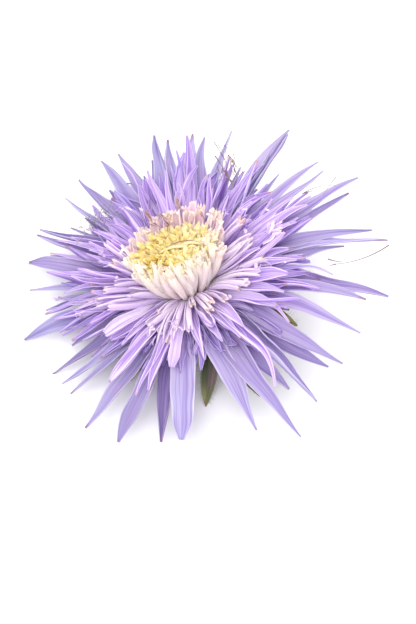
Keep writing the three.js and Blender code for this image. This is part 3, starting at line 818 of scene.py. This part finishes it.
# The disc florets are deep gold at their roots, partly painted crevice shade, and darken towards deep
# gold: painted crevice shade on the disc's core, and a darker tone on single florets and lobes.
DISC_LOOK = petal_material(
    "disc_floret", (0.90, 0.74, 0.20), (0.95, 0.85, 0.39), (0.96, 0.90, 0.64), (0.96, 0.91, 0.81),
    (0.97, 0.93, 0.72), vein=0.0, glow=0.6, filters=1.0, brown=(0.95, 0.87, 0.62),
    tone_and_painted_shade_colour=(0.84, 0.70, 0.28), band=0.0, fold_highlight_and_shadow=0.0,
)
BRACT_LOOK = petal_material(
    "leafy_bract", (0.012, 0.024, 0.006), (0.024, 0.042, 0.01), (0.76, 0.68, 0.27), (0.05, 0.06, 0.03),
    (0.20, 0.25, 0.11), (0.03, 0.06, 0.015), vein=0.4, glow=0.15, brown=(0.26, 0.12, 0.07),
    tone_and_painted_shade_colour=(0.6, 0.6, 0.6), streak_and_fold_shadow=(0.04, 0.06, 0.02), band=0.2, fold_highlight_and_shadow=0.2, ends=(0.62, 0.95),
    flank=(0.21, 0.11, 0.14),
)
FRINGE_LOOK = petal_material(
    "bract_hair", (0.46, 0.47, 0.38), (0.50, 0.50, 0.42), (0.55, 0.54, 0.47), (0.42, 0.38, 0.32),
    (0.5, 0.5, 0.5), vein=0.0, glow=0.2, band=0.0, fold_highlight_and_shadow=0.0,
)
HAIR_LOOK = petal_material(
    "pale_hair", (0.24, 0.23, 0.22), (0.26, 0.25, 0.24), (0.30, 0.28, 0.28), (0.22, 0.19, 0.20),
    (0.4, 0.4, 0.4), vein=0.0, glow=0.2, band=0.0, fold_highlight_and_shadow=0.0,
)
WITHERED_LOOK = petal_material(
    "withered_strip", (0.45, 0.24, 0.27), (0.56, 0.36, 0.44), (0.68, 0.48, 0.54), (0.36, 0.15, 0.16),
    (0.78, 0.64, 0.66), vein=0.5, glow=0.4, brown=(0.70, 0.48, 0.34), streak_and_fold_shadow=(0.26, 0.09, 0.10),
    band=0.5, fold_highlight_and_shadow=0.5,
)
THREAD_LOOK = petal_material(
    "dry_thread", (0.16, 0.08, 0.09), (0.22, 0.13, 0.14), (0.28, 0.20, 0.20), (0.12, 0.05, 0.06),
    (0.4, 0.3, 0.3), vein=0.0, glow=0.1, band=0.0, fold_highlight_and_shadow=0.0,
)


# A ray's widths between two forms, a little uneven along its length
def widths(shares, roll, first, second=None, share=0.0, uneven=0.06):
    form = lerp(np.array(FORMS[first]), np.array(FORMS[second or first]), share)
    shifts = (-0.04, -0.02, 0, 0.02)
    even = np.mean([np.interp(shares + shift, ALONG, form) for shift in shifts], axis=0)
    return even * (1 + wave(roll, shares, uneven, 2.4) + wave(roll, shares, uneven / 2, 5))


# Lengthwise folds that come and go along a ray: the angles they add at each row and column
def folds(shares, columns, roll, size):
    u, s = columns[None, :], shares[:, None]
    angle = 0
    for count in (1.3, 2.4, 3.6):
        strength = 0.55 + 0.45 * np.sin(2 * math.pi * (1.3 * s + roll()))
        ripple = np.sin(math.pi * (count * u + 2 * roll() + 0.6 * signed(roll) * s))
        angle = angle + np.tanh(2.4 * ripple) * strength / count**0.5
    return size * angle * smooth(s, 0, 0.3) * (1 - 0.4 * u**4)


# The angles of a section: a channel that curls by so much at its edges, rolled margins, a crease
# along its middle, and two pleats
def section(columns, curl, margin=0, crease=0, pleat=0):
    u = columns[None, :]
    curl, margin, crease, pleat = (
        np.reshape(value * np.ones(np.size(curl)), (-1, 1)) for value in (curl, margin, crease, pleat)
    )
    rolled = margin * np.sign(u) * smooth(abs(u), 0.55, 1)
    return curl * u + pleat * np.sin(2 * math.pi * u) * (1 - u**4) + rolled + crease * np.tanh(u / 0.12)


def outer_rays():
    piece = Piece("outer_rays")
    shares, thick, rolled = made("outer")
    for index, ray in enumerate(OUTER_RAYS):
        tip_azimuth, _, _, width, beneath = ray
        roll = draws("outer", index)
        front = frontness(tip_azimuth)
        look = RAY_LOOKS.get(tip_azimuth, {})
        fold = look.get("fold", lerp(22 + 50 * roll(), 16 + 24 * roll(), front))
        crease = lerp(34, 16, front) * signed(roll) * smooth(shares, 0.1, 0.35) + 10
        curl = lerp(rolled, fold, smooth(shares, 0.04, 0.34)) + 30 * smooth(shares, 0.75, 1)
        margin = (10 + 34 * roll()) * smooth(shares, 0.1, 0.4) + wave(roll, shares, 22, 2.6)
        folded = look.get("folds", lerp(38, 16, front) * (0.6 + 0.8 * roll()))
        angle = section(WIDE, curl, margin, crease) + folds(shares, WIDE, roll, folded)
        form = look.get("form", "taper" if sine(tip_azimuth) > 0.2 else "spear")
        even = widths(
            shares, roll, form, look.get("form", "drawn"), 0.7 * roll(), lerp(0.07, 0.03, front),
        )
        shell = strap(
            outer_line(ray), shares, width * even + BLUNT["outer"], angle, thick,
            bend=signed(roll) * 9 * smooth(shares, 0.6, 1) + wave(roll, shares, 3, 1.4),
            sway=(wave(roll, shares, 2.4, 1) + wave(roll, shares, 2.4, 2.4)) * smooth(shares, 0, 0.3)
            + signed(roll) * 7 * smooth(shares, 0.75, 1),
            twist=signed(roll) * lerp(46, 26, front) * smooth(shares, 0.2, 1),
        )
        # Darker at random, and more for a ray that lies beneath its neighbours: painted shade
        darker_tone_and_painted_shade = look.get("darker_tone_and_painted_shade", 0.04 + 0.2 * roll() + 0.2 * beneath)
        piece.add(shell, (roll(), darker_tone_and_painted_shade, roll() ** 2))
    return piece


def within(azimuth, arcs):
    return any((azimuth - start) % 360 < end - start for start, end in arcs)


def layer_lines(layer):
    roll = dice(layer["seed"])
    for i in range(layer["count"]):
        azimuth = layer["seed"] + i * GOLDEN_ANGLE + LAYER_SCATTER["azimuth"] * (roll() - 0.5)
        to_back = sine(azimuth)
        far = layer["back"] if to_back > 0 else layer["front"]
        length = lerp(layer["side"], far, abs(to_back)) + layer["spread"] * (roll() - 0.5)
        mid_azimuth = azimuth + LAYER_SCATTER["sweep"] * (roll() - 0.5)
        rise = layer["rise"] + layer["varies"] * (roll() - 0.5)
        width = layer["width"] * (1 + LAYER_SCATTER["width"] * (roll() - 0.5))
        width *= 1 + layer["broader"] * max(to_back, 0)
        width *= 1 - LEFT_NARROWER * max(-cosine(azimuth), 0)
        arch = layer["arch"] * (1 + LAYER_SCATTER["arch"] * (roll() - 0.5))
        slope = lerp(slope_at(OUTER_SLOPE, azimuth), slope_at(INNER_SLOPE, azimuth), rise)
        line = swept_line(azimuth, length * cosine(slope), mid_azimuth, slope, arch, LAYER_RADIUS, 0)
        only, free = layer.get("only", ((0, 360),)), layer.get("free", ())
        if within(azimuth, only) and not within(azimuth, free):
            yield line, width


# Narrow rays that are tubes for at most so much of their length, and then open and curl, fold or twist
def channelled_rays(name, tubed, *layers):
    piece = Piece(name)
    shares, thick, rolled = made("narrow")
    lines = [found for layer in layers for found in layer_lines(layer)]
    for index, (line, width) in enumerate(lines):
        roll = draws(name, index)
        opens = lerp(0.06, tubed, roll() ** 1.5)
        opened = smooth(shares, opens, opens + 0.3)
        fold = 22 + 80 * roll()
        curl = lerp(rolled, fold, opened) + 40 * smooth(shares, 0.78, 1)
        margin = (50 * roll() + wave(roll, shares, 28, 2.6)) * opened
        angle = section(NARROW, curl, margin, 30 * signed(roll) * opened)
        angle = angle + folds(shares, NARROW, roll, 16 + 26 * roll()) * opened[:, None]
        first, second = (NARROW_FORMS[int(len(NARROW_FORMS) * roll())] for _ in range(2))
        wide = width * (0.95 * widths(shares, roll, first, second, roll(), 0.09) + 0.05)
        shell = strap(
            line, shares, wide, angle, thick, NARROW,
            bend=signed(roll) * 34 * smooth(shares, 0.55, 1) + wave(roll, shares, 6, 1.6),
            sway=signed(roll) * 22 * smooth(shares, 0.45, 1) + wave(roll, shares, 6, 1.4)
            + wave(roll, shares, 3, 3),
            twist=signed(roll) * 80 * smooth(shares, 0.15, 1),
        )
        piece.add(shell, (roll(), 0.3 * roll() ** 2, roll() ** 2.5))
    return piece


def placed_rays():
    piece = Piece("placed_rays")
    shares, thick, rolled = made("placed")
    for index, ray in enumerate(PLACED_RAYS):
        azimuth, reach, height, mid_azimuth, width, form, fold, twist, hook, pale, worn = ray
        roll = draws("placed", index)
        opened = smooth(shares, 0.08, 0.4)
        curl = lerp(rolled, fold, opened) + 30 * smooth(shares, 0.85, 1)
        margin = (26 + wave(roll, shares, 24, 2.6)) * opened
        angle = section(WIDE, curl, margin) + folds(shares, WIDE, roll, 22)
        shell = strap(
            placed_line(azimuth, reach, height, mid_azimuth, *RAY_FEET), shares,
            width * widths(shares, roll, form) + BLUNT["placed"], angle, thick,
            bend=-10 * smooth(shares, 0.7, 1) + wave(roll, shares, 4, 1.4),
            sway=wave(roll, shares, 3, 1.1) + wave(roll, shares, 3, 2.6)
            + hook * smooth(shares, 0.66, 0.9),
            twist=twist * smooth(shares, 0.2, 1),
        )
        piece.add(shell, (pale, 0.06 * roll(), worn))
    return piece


# A tube whose mouth opens on its upper side and is cut into small teeth. foot and mouth are shares of
# its width, full is how far it closes, gape how far it opens, and point how far its mouth narrows.
def tube(line, width, roll, foot=0.6, mouth=1.15, bend=10, gape=60, full=172, point=0.2):
    shares = TUBE_ROWS
    opens = 0.74 + 0.14 * roll()
    curl = lerp(full, full - 22 - gape * roll(), smooth(shares, opens, 1))
    narrows = 1 - point * smooth(shares, 1 - point / 2, 1)
    wide = width * lerp(foot, mouth, smooth(shares, 0, 0.85)) * narrows
    teeth = abs(np.sin(ROUND * math.pi * 1.5 + 0.8 * roll()))
    teeth = teeth - 0.4 * abs(np.sin(ROUND * 5 + 6 * roll()))
    push = smooth(shares, 0.84, 1)[:, None] * teeth * min(width * 0.8, 1.5)
    flare = -35 * roll() * smooth(shares, 0.93, 1)
    thick = TUBE_THICK + (0.16 + 0.16 * roll()) * smooth(shares, 0.88, 1)
    return strap(
        line, shares, wide, section(ROUND, curl, flare), thick, ROUND,
        bend=signed(roll) * bend * smooth(shares, 0.5, 1) + wave(roll, shares, 4, 1),
        sway=signed(roll) * bend * smooth(shares, 0.3, 1), twist=40 * signed(roll) * shares, push=push,
    )


# A lumpy knob at a tube's mouth
def add_knob(piece, line, size, roll, frame_of=None):
    centre, along, across, out = mouth_of(line)
    spot = centre + size * (along * roll() + across * 1.6 * signed(roll) + out * 1.6 * signed(roll))
    points, faces, places = lathed(KNOB, 7)
    lumps = np.array([0.8 + 0.5 * roll() for _ in points])[:, None]
    places[:] = KNOB_PLACE
    piece.add((spot + size * points * lumps, faces, places), (0.6 * roll(), 0, roll()), frame_of)


# A style that stands out of a tube's mouth: a white thread that forks into two curled arms
def add_style(piece, line, roll):
    centre, along, across, out = mouth_of(line)
    reach = 1 + 1.2 * roll()
    fork = centre + along * reach * 0.5
    shares, thick, rolled = made("style")
    for way in (-1, 1):
        heading = along * (0.6 + 0.6 * roll()) + way * across * (0.5 + roll()) + out * signed(roll)
        tip = fork + heading / np.linalg.norm(heading) * reach
        arm = np.array([centre - along, fork, fork + along * 0.4, tip]), out
        curled = signed(roll) * 90 * smooth(shares, 0.4, 1)
        shell = strap(arm, shares, 0.3 * (1 - 0.4 * shares), rolled * FINE, thick, FINE, bend=curled)
        piece.add(shell, (1, 0, 0))


def add_quill(piece, line, width, roll, lilac=1.0):
    shell = tube(line, width, roll, bend=20, gape=15)
    piece.add(shell, (lilac * (0.5 + 0.5 * roll()), 0.2 * roll(), roll()))
    if roll() < 0.35:
        add_style(piece, line, roll)
    for _ in range(int(3 * roll())):
        add_knob(piece, line, 0.3 + 0.25 * roll(), roll)


def ray_quills():
    piece = Piece("ray_quills")
    for index, (*place, width) in enumerate(PLACED_STUBS):
        roll, line = draws("stubs", index), placed_line(*place, *QUILL_FEET)
        piece.add(tube(line, width, roll, foot=0.8, mouth=1, bend=0, gape=-22), (0, 0, 0.9))
        add_knob(piece, line, 0.4, roll)
    for index, (*place, width) in enumerate(PLACED_QUILLS):
        lilac = lerp(0.3, 1, smooth(-cosine(place[0]), 0.5, 0.9))
        add_quill(piece, placed_line(*place, *QUILL_FEET), width, draws("quills", index), lilac)
    return piece


def violet_quills():
    piece = Piece("violet_quills")
    for index, (line, width) in enumerate(layer_lines(QUILL_RAYS)):
        add_quill(piece, line, width, draws("violet", index))
    return piece


def tube_scraps():
    piece = Piece("tube_scraps")
    for index, (azimuth, reach, height, way, slope, length, width, styles) in enumerate(FORKS):
        roll, foot = draws("forks", index), spot_at(azimuth, reach, height)
        line = straight_line(foot, foot + direction(way, slope) * length, direction(way + 90, 0))
        piece.add(tube(line, width, roll, mouth=1.2, bend=50, gape=70, full=140), (0.3, 0, 0))
        for _ in range(styles):
            add_style(piece, line, roll)
    shares, thick, rolled = made("scrap")
    for index, (azimuth, reach, height, length) in enumerate(SCRAPS):
        roll, start = draws("scraps", index), spot_at(azimuth, reach, height)
        end = start + direction(30 * signed(roll), 10 * signed(roll)) * length
        wide = 0.3 + 0.12 * np.sin(5 * shares + 6 * roll())
        shell = strap(
            straight_line(start, end, direction(azimuth, 0)), shares, wide,
            section(NARROW, rolled * (1 + roll())), thick, NARROW,
            bend=30 * signed(roll) * shares, sway=40 * signed(roll) * shares,
        )
        piece.add(shell, (0, 0, 0.5 * roll()))
    return piece


def cream_line(ring, azimuth, roll):
    azimuth = azimuth + ring.get("stray", CREAM_SCATTER["azimuth"]) * (roll() - 0.5)
    front, back = frontness(azimuth), max(sine(azimuth), 0)
    right = max(cosine(azimuth - CREAM_RIGHT["azimuth"]), 0) ** 2
    tip = ring["tip"] - ring["inward"] * front - CREAM_RIGHT["inward"] * right
    tip += CREAM_SCATTER["tip"] * (roll() - 0.5)
    height = ring["height"] + ring.get("uneven", CREAM_SCATTER["height"]) * (roll() - 0.5)
    height += CREAM_FRONT["rise"] * front + CREAM_RIGHT["rise"] * right - CREAM_BACK["sink"] * back
    tip_azimuth = azimuth + CREAM_SCATTER["sway"] * (roll() - 0.5)
    return centre_line(
        cylindrical(ring["root"], azimuth, ring["base"]),
        cylindrical(tip, tip_azimuth, height),
        direction(azimuth, ring["leave"]),
        direction(tip_azimuth, ring["arrive"] + CREAM_FRONT["curl"] * front),
        azimuth,
    ), back


def add_ring(piece, ring):
    roll = dice(ring["seed"])
    start, end = ring.get("only", (-1, 360))
    curl = ring.get("curl", 172)
    for i in range(ring["count"]):
        azimuth = i * 360 / ring["count"]
        line, back = cream_line(ring, azimuth, roll)
        if not start < azimuth < end:
            continue
        look = dice(ring["looks"] + 7 * i)
        shell = tube(
            line, ring["width"] * (0.85 + 0.3 * look()), look, 0.4, bend=ring.get("stray", 14),
            gape=0.35 * curl, full=curl, point=ring.get("point", 0.2),
        )
        lilac = ring["lilac"] * look() + CREAM_BACK["lilac"] * back
        piece.add(shell, (min(lilac, 1), 0.1 * look(), ring["gold"] * look()), in_brush)
        for _ in range(int(ring.get("knobs", 2.6) * look())):
            add_knob(piece, line, 0.26 + 0.16 * look(), look, in_brush)


def cream_tubes():
    piece = Piece("cream_tubes")
    for ring in CREAM_RINGS:
        add_ring(piece, ring)
    for index, (azimuth, reach, height, width, knobs) in enumerate(BACK_TUBES):
        look = draws("back", index)
        line = centre_line(
            cylindrical(BACK_TUBE["root"], azimuth, BACK_TUBE["base"]),
            spot_at(azimuth, reach, height),
            direction(azimuth, BACK_TUBE["leave"]),
            direction(azimuth + 30 * signed(look), BACK_TUBE["arrive"]),
            azimuth,
        )
        shell = tube(line, 1.2 * width, look, foot=0.5, bend=14, full=130)
        piece.add(shell, (0.7 + 0.3 * look(), 0.05 * look(), 0.8 * look()), in_brush)
        for _ in range(knobs):
            add_knob(piece, line, 0.3 + 0.2 * look(), look, in_brush)
    # The core inside the brush, darkened half way to the warm brown of painted crevice shade
    piece.add(lathed(CREAM_CORE, 40), (0.5, 0.5, 0), in_brush)
    return piece


def withered_strips():
    piece = Piece("withered_strips")
    shares, thick, rolled = made("strip")
    for index, (azimuth, reach, height, *far_end, width) in enumerate(WITHERED):
        roll = draws("withered", index)
        tip, foot = spot_at(azimuth, reach, height), spot_at(*far_end)
        length = np.linalg.norm(tip - foot)
        level = np.cross([0, 0, 1], tip - foot)
        line = straight_line(foot, tip, level / np.linalg.norm(level), rise=0.06 * length)
        angle = section(NARROW, rolled, wave(roll, shares, 50, 2)) + folds(shares, NARROW, roll, 40)
        wide = width * widths(shares, roll, "taper", "club", roll(), 0.16)
        shell = strap(
            line, shares, wide + BLUNT["strip"], angle, thick, NARROW,
            sway=wave(roll, shares, 12, 1.6), twist=80 * signed(roll) * shares,
        )
        piece.add(shell, (roll(), 0, 1), in_brush)
    add_thread(piece, THREAD_ACROSS, 0.34, 12, (1, 0, 0), in_brush)
    return piece


# A disc floret: a small tube that flares into five pointed lobes
def disc_floret(line, thickness, spread):
    turns = turnings(15)
    lobe = (0.5 + 0.5 * np.cos(5 * turns)) ** 1.4
    radius, shares, opened, ups = np.array(FLORET_RINGS).T
    centre, along, across, out = (part[:, None] for part in stations(line, shares))
    radius = thickness * (radius[:, None] + spread * opened[:, None] * lobe)[..., None]
    forward = (thickness * 0.9 * opened[:, None] * (lobe - 0.3))[..., None]
    x, y = np.cos(turns)[:, None], np.sin(turns)[:, None]
    rings = centre + along * forward + across * radius * x + out * radius * y
    return ring_body(rings, [centre[0, 0], centre[-1, 0]], ups, top=0)


def disc_height(share):
    return DISC["crown"] - DISC["fall"] * share * share


def add_florets(piece):
    roll = dice(DISC["seed"])
    for i in range(DISC["count"]):
        share = math.sqrt((i + 0.5) / DISC["count"])
        azimuth, radius, base = i * GOLDEN_ANGLE, DISC["radius"] * share, disc_height(share)
        top = base + 1.5 + 1.6 * (roll() - 0.5) + 0.9 * share
        line = centre_line(
            cylindrical(radius * (1 - DISC["splay"]), azimuth, base - DISC["sunk"]),
            cylindrical(radius * 1.02 + 0.8 * (roll() - 0.5), azimuth + 8 * signed(roll), top),
            direction(azimuth, 90),
            direction(azimuth + 180 * roll(), 50 + 40 * roll()),
            azimuth,
        )
        shell = disc_floret(line, 0.26 + 0.12 * roll(), 0.5 + 1.1 * roll())
        piece.add(shell, (share * roll(), 0.25 * roll(), 0), in_disc)


# Lobes that curl inwards among the disc florets, palest at the right and in front
def add_lobes(piece):
    shares, thick, rolled = made("lobe")
    for i in range(DISC["lobes"]):
        look = draws("lobes", i)
        share = math.sqrt((i + 0.5) / DISC["lobes"])
        azimuth = i * GOLDEN_ANGLE + DISC["shift"]
        front, base = frontness(azimuth), disc_height(share)
        radius = DISC["radius"] * share * (1 - 0.1 * front)
        inward = azimuth + 180 + lerp(120, 50, front) * signed(look)
        over = cylindrical(radius, azimuth, base + 1.6 + 2 * look())
        tip = over + cylindrical(0.8 + 2.6 * look(), inward, 0)
        foot = cylindrical(radius, azimuth, base)
        line = centre_line(foot, tip, direction(azimuth, 80), direction(inward, 10), azimuth)
        curl = lerp(rolled, 60 + 40 * look(), smooth(shares, 0.2, 0.7))
        wide = (0.5 + 0.6 * look()) * (0.6 + 0.5 * smooth(shares, 0, 0.6))
        wide = wide * (1 - 0.7 * smooth(shares, 0.85, 1))
        shell = strap(
            line, shares, wide, section(NARROW, curl), thick, NARROW,
            bend=-110 * look() * smooth(shares, 0.4, 1), sway=90 * signed(look) * shares,
            twist=50 * signed(look) * shares,
        )
        pale = 0.4 + 0.8 * cosine(azimuth - 20) * share + 0.9 * front * share**3
        pale -= 0.5 * front * (1 - share)
        pale = min(max(pale, 0), 1)
        piece.add(shell, (pale * look() ** 0.5, 0.6 * look() ** 1.6 * (1 - pale), 0), in_disc)


def disc_florets():
    piece = Piece("disc_florets_fine")
    add_florets(piece)
    add_lobes(piece)
    for index, (points, width) in enumerate(LYING):
        line = np.array(points, float), np.array([0.2, 1, 0.1])
        piece.add(tube(line, width, draws("lying", index), foot=0.7, bend=6), (0.8, 0, 0.5), in_brush)
    # The disc's core, darkened towards the deep gold of painted crevice shade
    piece.add(lathed(DISC_CORE, 40), (0.2, 0.3, 0), in_disc)
    return piece


def bract_line(tip_azimuth, reach, mid_azimuth, height):
    tip_height = height_above(reach * cosine(tip_azimuth), height)
    slope = math.atan2(tip_height - BRACT["height"], reach - BRACT["radius"]) / DEGREE
    feet = BRACT["arch"], BRACT["radius"], BRACT["height"]
    return swept_line(tip_azimuth, reach, mid_azimuth, slope, *feet)


# How a bract's width runs along it
def lance(shares):
    fall = np.clip((shares - 0.56) / 0.44, 0, 1)
    return lerp(0.38, 1, smooth(shares, 0.08, 0.6)) * (1 - fall**2.2)


# The leafy bracts, and the hairs along their margins
def bracts():
    piece, hairs = Piece("leafy_bracts"), Piece("bract_hairs")
    shares, thick, rolled = made("bract")
    for index, (tip_azimuth, reach, mid_azimuth, width, height) in enumerate(BRACTS + LONG_BRACTS):
        roll = draws("bracts", index)
        curl = rolled * (1 + roll()) + 14 * smooth(shares, 0.75, 1)
        pleat = -16 * smooth(shares, 0, 0.3) * (1 - shares)
        angle = section(WIDE, curl, wave(roll, shares, 12, 2), pleat=pleat)
        shell = strap(
            bract_line(tip_azimuth, reach, mid_azimuth, height), shares,
            width * lance(shares) + BLUNT["bract"], angle, thick,
            bend=wave(roll, shares, 3, 1), twist=signed(roll) * 20 * smooth(shares, 0.4, 1),
        )
        piece.add(shell, (roll(), 0.3 * roll(), 0.5 + 0.5 * roll()))
        grid = shell[0][:len(shares) * len(WIDE)].reshape(len(shares), len(WIDE), 3)
        for edge, inner in ((0, 1), (-1, -2)):
            add_fringe(hairs, grid[:, edge], grid[:, edge] - grid[:, inner], roll)
    return piece, hairs


# Hairs along a margin, which stand away from it and lean towards its tip
def add_fringe(piece, margin, away, roll):
    lengths = np.append(0, np.cumsum(np.linalg.norm(np.diff(margin, axis=0), axis=1)))
    place = 2.0
    while place < lengths[-1] - 0.5:
        spot, side = (
            np.array([np.interp(place, lengths, values[:, axis]) for axis in range(3)])
            for values in (margin, away)
        )
        side /= np.linalg.norm(side) + 1e-9
        ahead = margin[-1] - spot
        ahead /= np.linalg.norm(ahead) + 1e-9
        heading = side + ahead * roll() + jitter(roll, 0.3)
        tip = spot + heading * HAIRS["length"] * (0.5 + 0.7 * roll())
        bow = jitter(roll, 0.4)
        points = [spot - side * 0.1, lerp(spot, tip, 0.5) + bow, tip]
        add_thread(piece, points, HAIRS["thick"], 5, (roll(), 0, 0))
        place += HAIRS["step"] * (0.5 + roll())


# A thin round thread through three points, thinner towards its end
def add_thread(piece, points, thick, count, tint, frame_of=None):
    start, middle, end = (np.array(point, float) for point in points)
    s = rows(count)[:, None]
    centre = start * (1 - s) ** 2 + 2 * s * (1 - s) * (2 * middle - (start + end) / 2) + end * s**2
    along = np.gradient(centre, axis=0)
    along /= np.linalg.norm(along, axis=1, keepdims=True)
    across = np.cross(along, [0.3, 0.2, 0.93])
    across /= np.linalg.norm(across, axis=1, keepdims=True)
    out = np.cross(along, across)
    turns = turnings(3)[:, None]
    ring = across[:, None] * np.cos(turns) + out[:, None] * np.sin(turns)
    points = (centre[:, None] + ring * (thick / 2 * (1 - 0.6 * s))[..., None]).reshape(-1, 3)
    caps = np.array([[2, 1, 0], np.arange(3) + 3 * (count - 1)])
    places = np.stack([np.full(len(points), 0.5), np.repeat(rows(count), 3)], -1)
    faces = [grid_faces(count, 3, loop=True)[:, ::-1], caps]
    piece.add((points, faces, places), tint, frame_of)


def dry_threads():
    piece = Piece("dry_threads")
    for index, (azimuth, reach, height, *far_end, bow, thick) in enumerate(THREADS):
        start, end = spot_at(azimuth, reach, height), spot_at(*far_end)
        side = np.cross(end - start, [0, 0, 1])
        middle = (start + end) / 2 + side / np.linalg.norm(side) * bow
        tint = draws("threads", index)(), 0, 0
        add_thread(piece, [start, middle, end], 0.12 + 0.9 * thick, 14, tint)
    return piece


def grey_hairs():
    piece = Piece("grey_hairs")
    roll = dice(GREY_HAIRS["seed"])
    for _ in range(GREY_HAIRS["count"]):
        azimuth, reach, height = (
            lerp(*GREY_HAIRS[key], roll()) for key in ("azimuth", "reach", "height")
        )
        start = spot_at(azimuth, reach, height)
        length = GREY_HAIRS["length"] * (0.5 + roll())
        end = start + length * direction(azimuth + 90 * signed(roll), 20 * signed(roll))
        middle = (start + end) / 2 + jitter(roll, 0.9)
        add_thread(piece, [start, middle, end], GREY_HAIRS["thick"], 8, (roll(), 0, 0))
    return piece


def lathed_piece(name, profile, ribs, depth, tint):
    piece = Piece(name)
    piece.add(lathed(profile, 48, ribs, depth), tint)
    return piece


def stem_stub():
    piece = Piece("stem_stub")
    turns = turnings(42)
    radius = STEM["radius"] + STEM["rib"] * np.cos(7 * turns)
    levels, scales = [0, *rows(12), 1], [0.55, *np.ones(12), 0.5]
    rings = []
    for level, scale in zip(levels, scales):
        x, y = scale * radius * np.cos(turns), scale * radius * np.sin(turns)
        rings.append(np.stack([x, y, lerp(height_above(x, 0), STEM["top"], level)], -1))
    ends = [(0, 0, height_above(0, 0)), (0, 0, STEM["top"])]
    piece.add(ring_body(np.array(rings), ends, levels), (0.2, 0.1, 0))
    return piece


leaves, fringe = bracts()
ray_core = lathed_piece("ray_core", RAY_CORE, 24, 0.12, (0.3, 0.4, 0))
receptacle = lathed_piece("receptacle", RECEPTACLE, 16, 0.1, (0.6, 0, 0))
PIECES = (
    (
        "ray", ["ray_florets"],
        [
            (outer_rays(), OUTER_LOOK),
            (channelled_rays("middle_rays", 0.25, MIDDLE_RAYS), MIDDLE_LOOK),
            (channelled_rays("under_rays", 0.15, UNDER_RAYS), UNDER_LOOK),
            (channelled_rays("inner_rays", 0.45, INNER_RAYS, NARROW_RAYS), INNER_LOOK),
            (placed_rays(), PLACED_LOOK), (channelled_rays("front_rays", 0.1, FRONT_RAYS), UNDER_LOOK),
            (ray_quills(), QUILL_LOOK), (tube_scraps(), QUILL_LOOK), (violet_quills(), INNER_LOOK),
            (ray_core, QUILL_LOOK),
        ],
    ),
    ("cream", ["cream_florets"], [(cream_tubes(), CREAM_LOOK), (withered_strips(), WITHERED_LOOK)]),
    ("disc", ["disc_florets"], [(disc_florets(), DISC_LOOK)]),
    ("bract", ["involucre"], [(leaves, BRACT_LOOK), (fringe, FRINGE_LOOK)]),
    ("stem", [], [(dry_threads(), THREAD_LOOK)]),
    ("bract", ["involucre"], [(grey_hairs(), HAIR_LOOK), (receptacle, BRACT_LOOK)]),
    ("stem", ["stem"], [(stem_stub(), BRACT_LOOK)]),
)
for slot, nodes, pieces in PIECES:
    for piece, look in pieces:
        piece.build(look, slot, *nodes)


# Floor, light and camera
def floor():
    shader = Shader("pale_floor")
    surface = shader.node("ShaderNodeBsdfPrincipled", FLOOR["colour"], Roughness=0.9)
    shader.node("ShaderNodeOutputMaterial", Surface=surface.outputs[0])
    mesh = bpy.data.meshes.new("floor")
    half = FLOOR["half"]
    corners = [(x * half, y * half, 0) for x, y in ((-1, -1), (1, -1), (1, 1), (-1, 1))]
    mesh.from_pydata(corners, [], [(0, 1, 2, 3)])
    mesh.materials.append(shader.material)
    sheet = bpy.data.objects.new("floor", mesh)
    bpy.context.scene.collection.objects.link(sheet)


# Turns a light or camera towards a point and puts it into the scene
def aim(name, data, place, target):
    thing = bpy.data.objects.new(name, data)
    thing.location = place
    thing.rotation_euler = (target - thing.location).to_track_quat("-Z", "Y").to_euler()
    bpy.context.scene.collection.objects.link(thing)
    return thing


def studio():
    for name, (place, size, power) in LIGHTS.items():
        data = bpy.data.lights.new(name, "AREA")
        data.shape = "DISK"
        data.size = size
        data.energy = power
        aim(name, data, place, Vector(LIT))
    world = bpy.data.worlds.new("studio")
    world.use_nodes = True
    world.node_tree.nodes["Background"].inputs[0].default_value = (1, 1, 1, 1)
    world.node_tree.nodes["Background"].inputs[1].default_value = WORLD_LIGHT
    bpy.context.scene.world = world
    bpy.context.scene.view_settings.view_transform = "Standard"


def camera():
    high, level = sine(CAMERA["elevation"]), cosine(CAMERA["elevation"])
    across = (FRAME_SIZE[0] / 2 - CAMERA["root_x"]) * CAMERA["pixel"]
    down = (FRAME_SIZE[1] / 2 - CAMERA["root_y"]) * CAMERA["pixel"]
    target = (Vector(ROOT.tolist()) + Vector((across, -high * down, -level * down))) * MM
    data = bpy.data.cameras.new("camera")
    data.sensor_width = SENSOR
    data.lens = SENSOR * CAMERA["distance"] / (CAMERA["pixel"] * FRAME_SIZE[1])
    place = target + Vector((0, -level, high)) * CAMERA["distance"] * MM
    bpy.context.scene.camera = aim("camera", data, place, target)


floor()
studio()
camera()
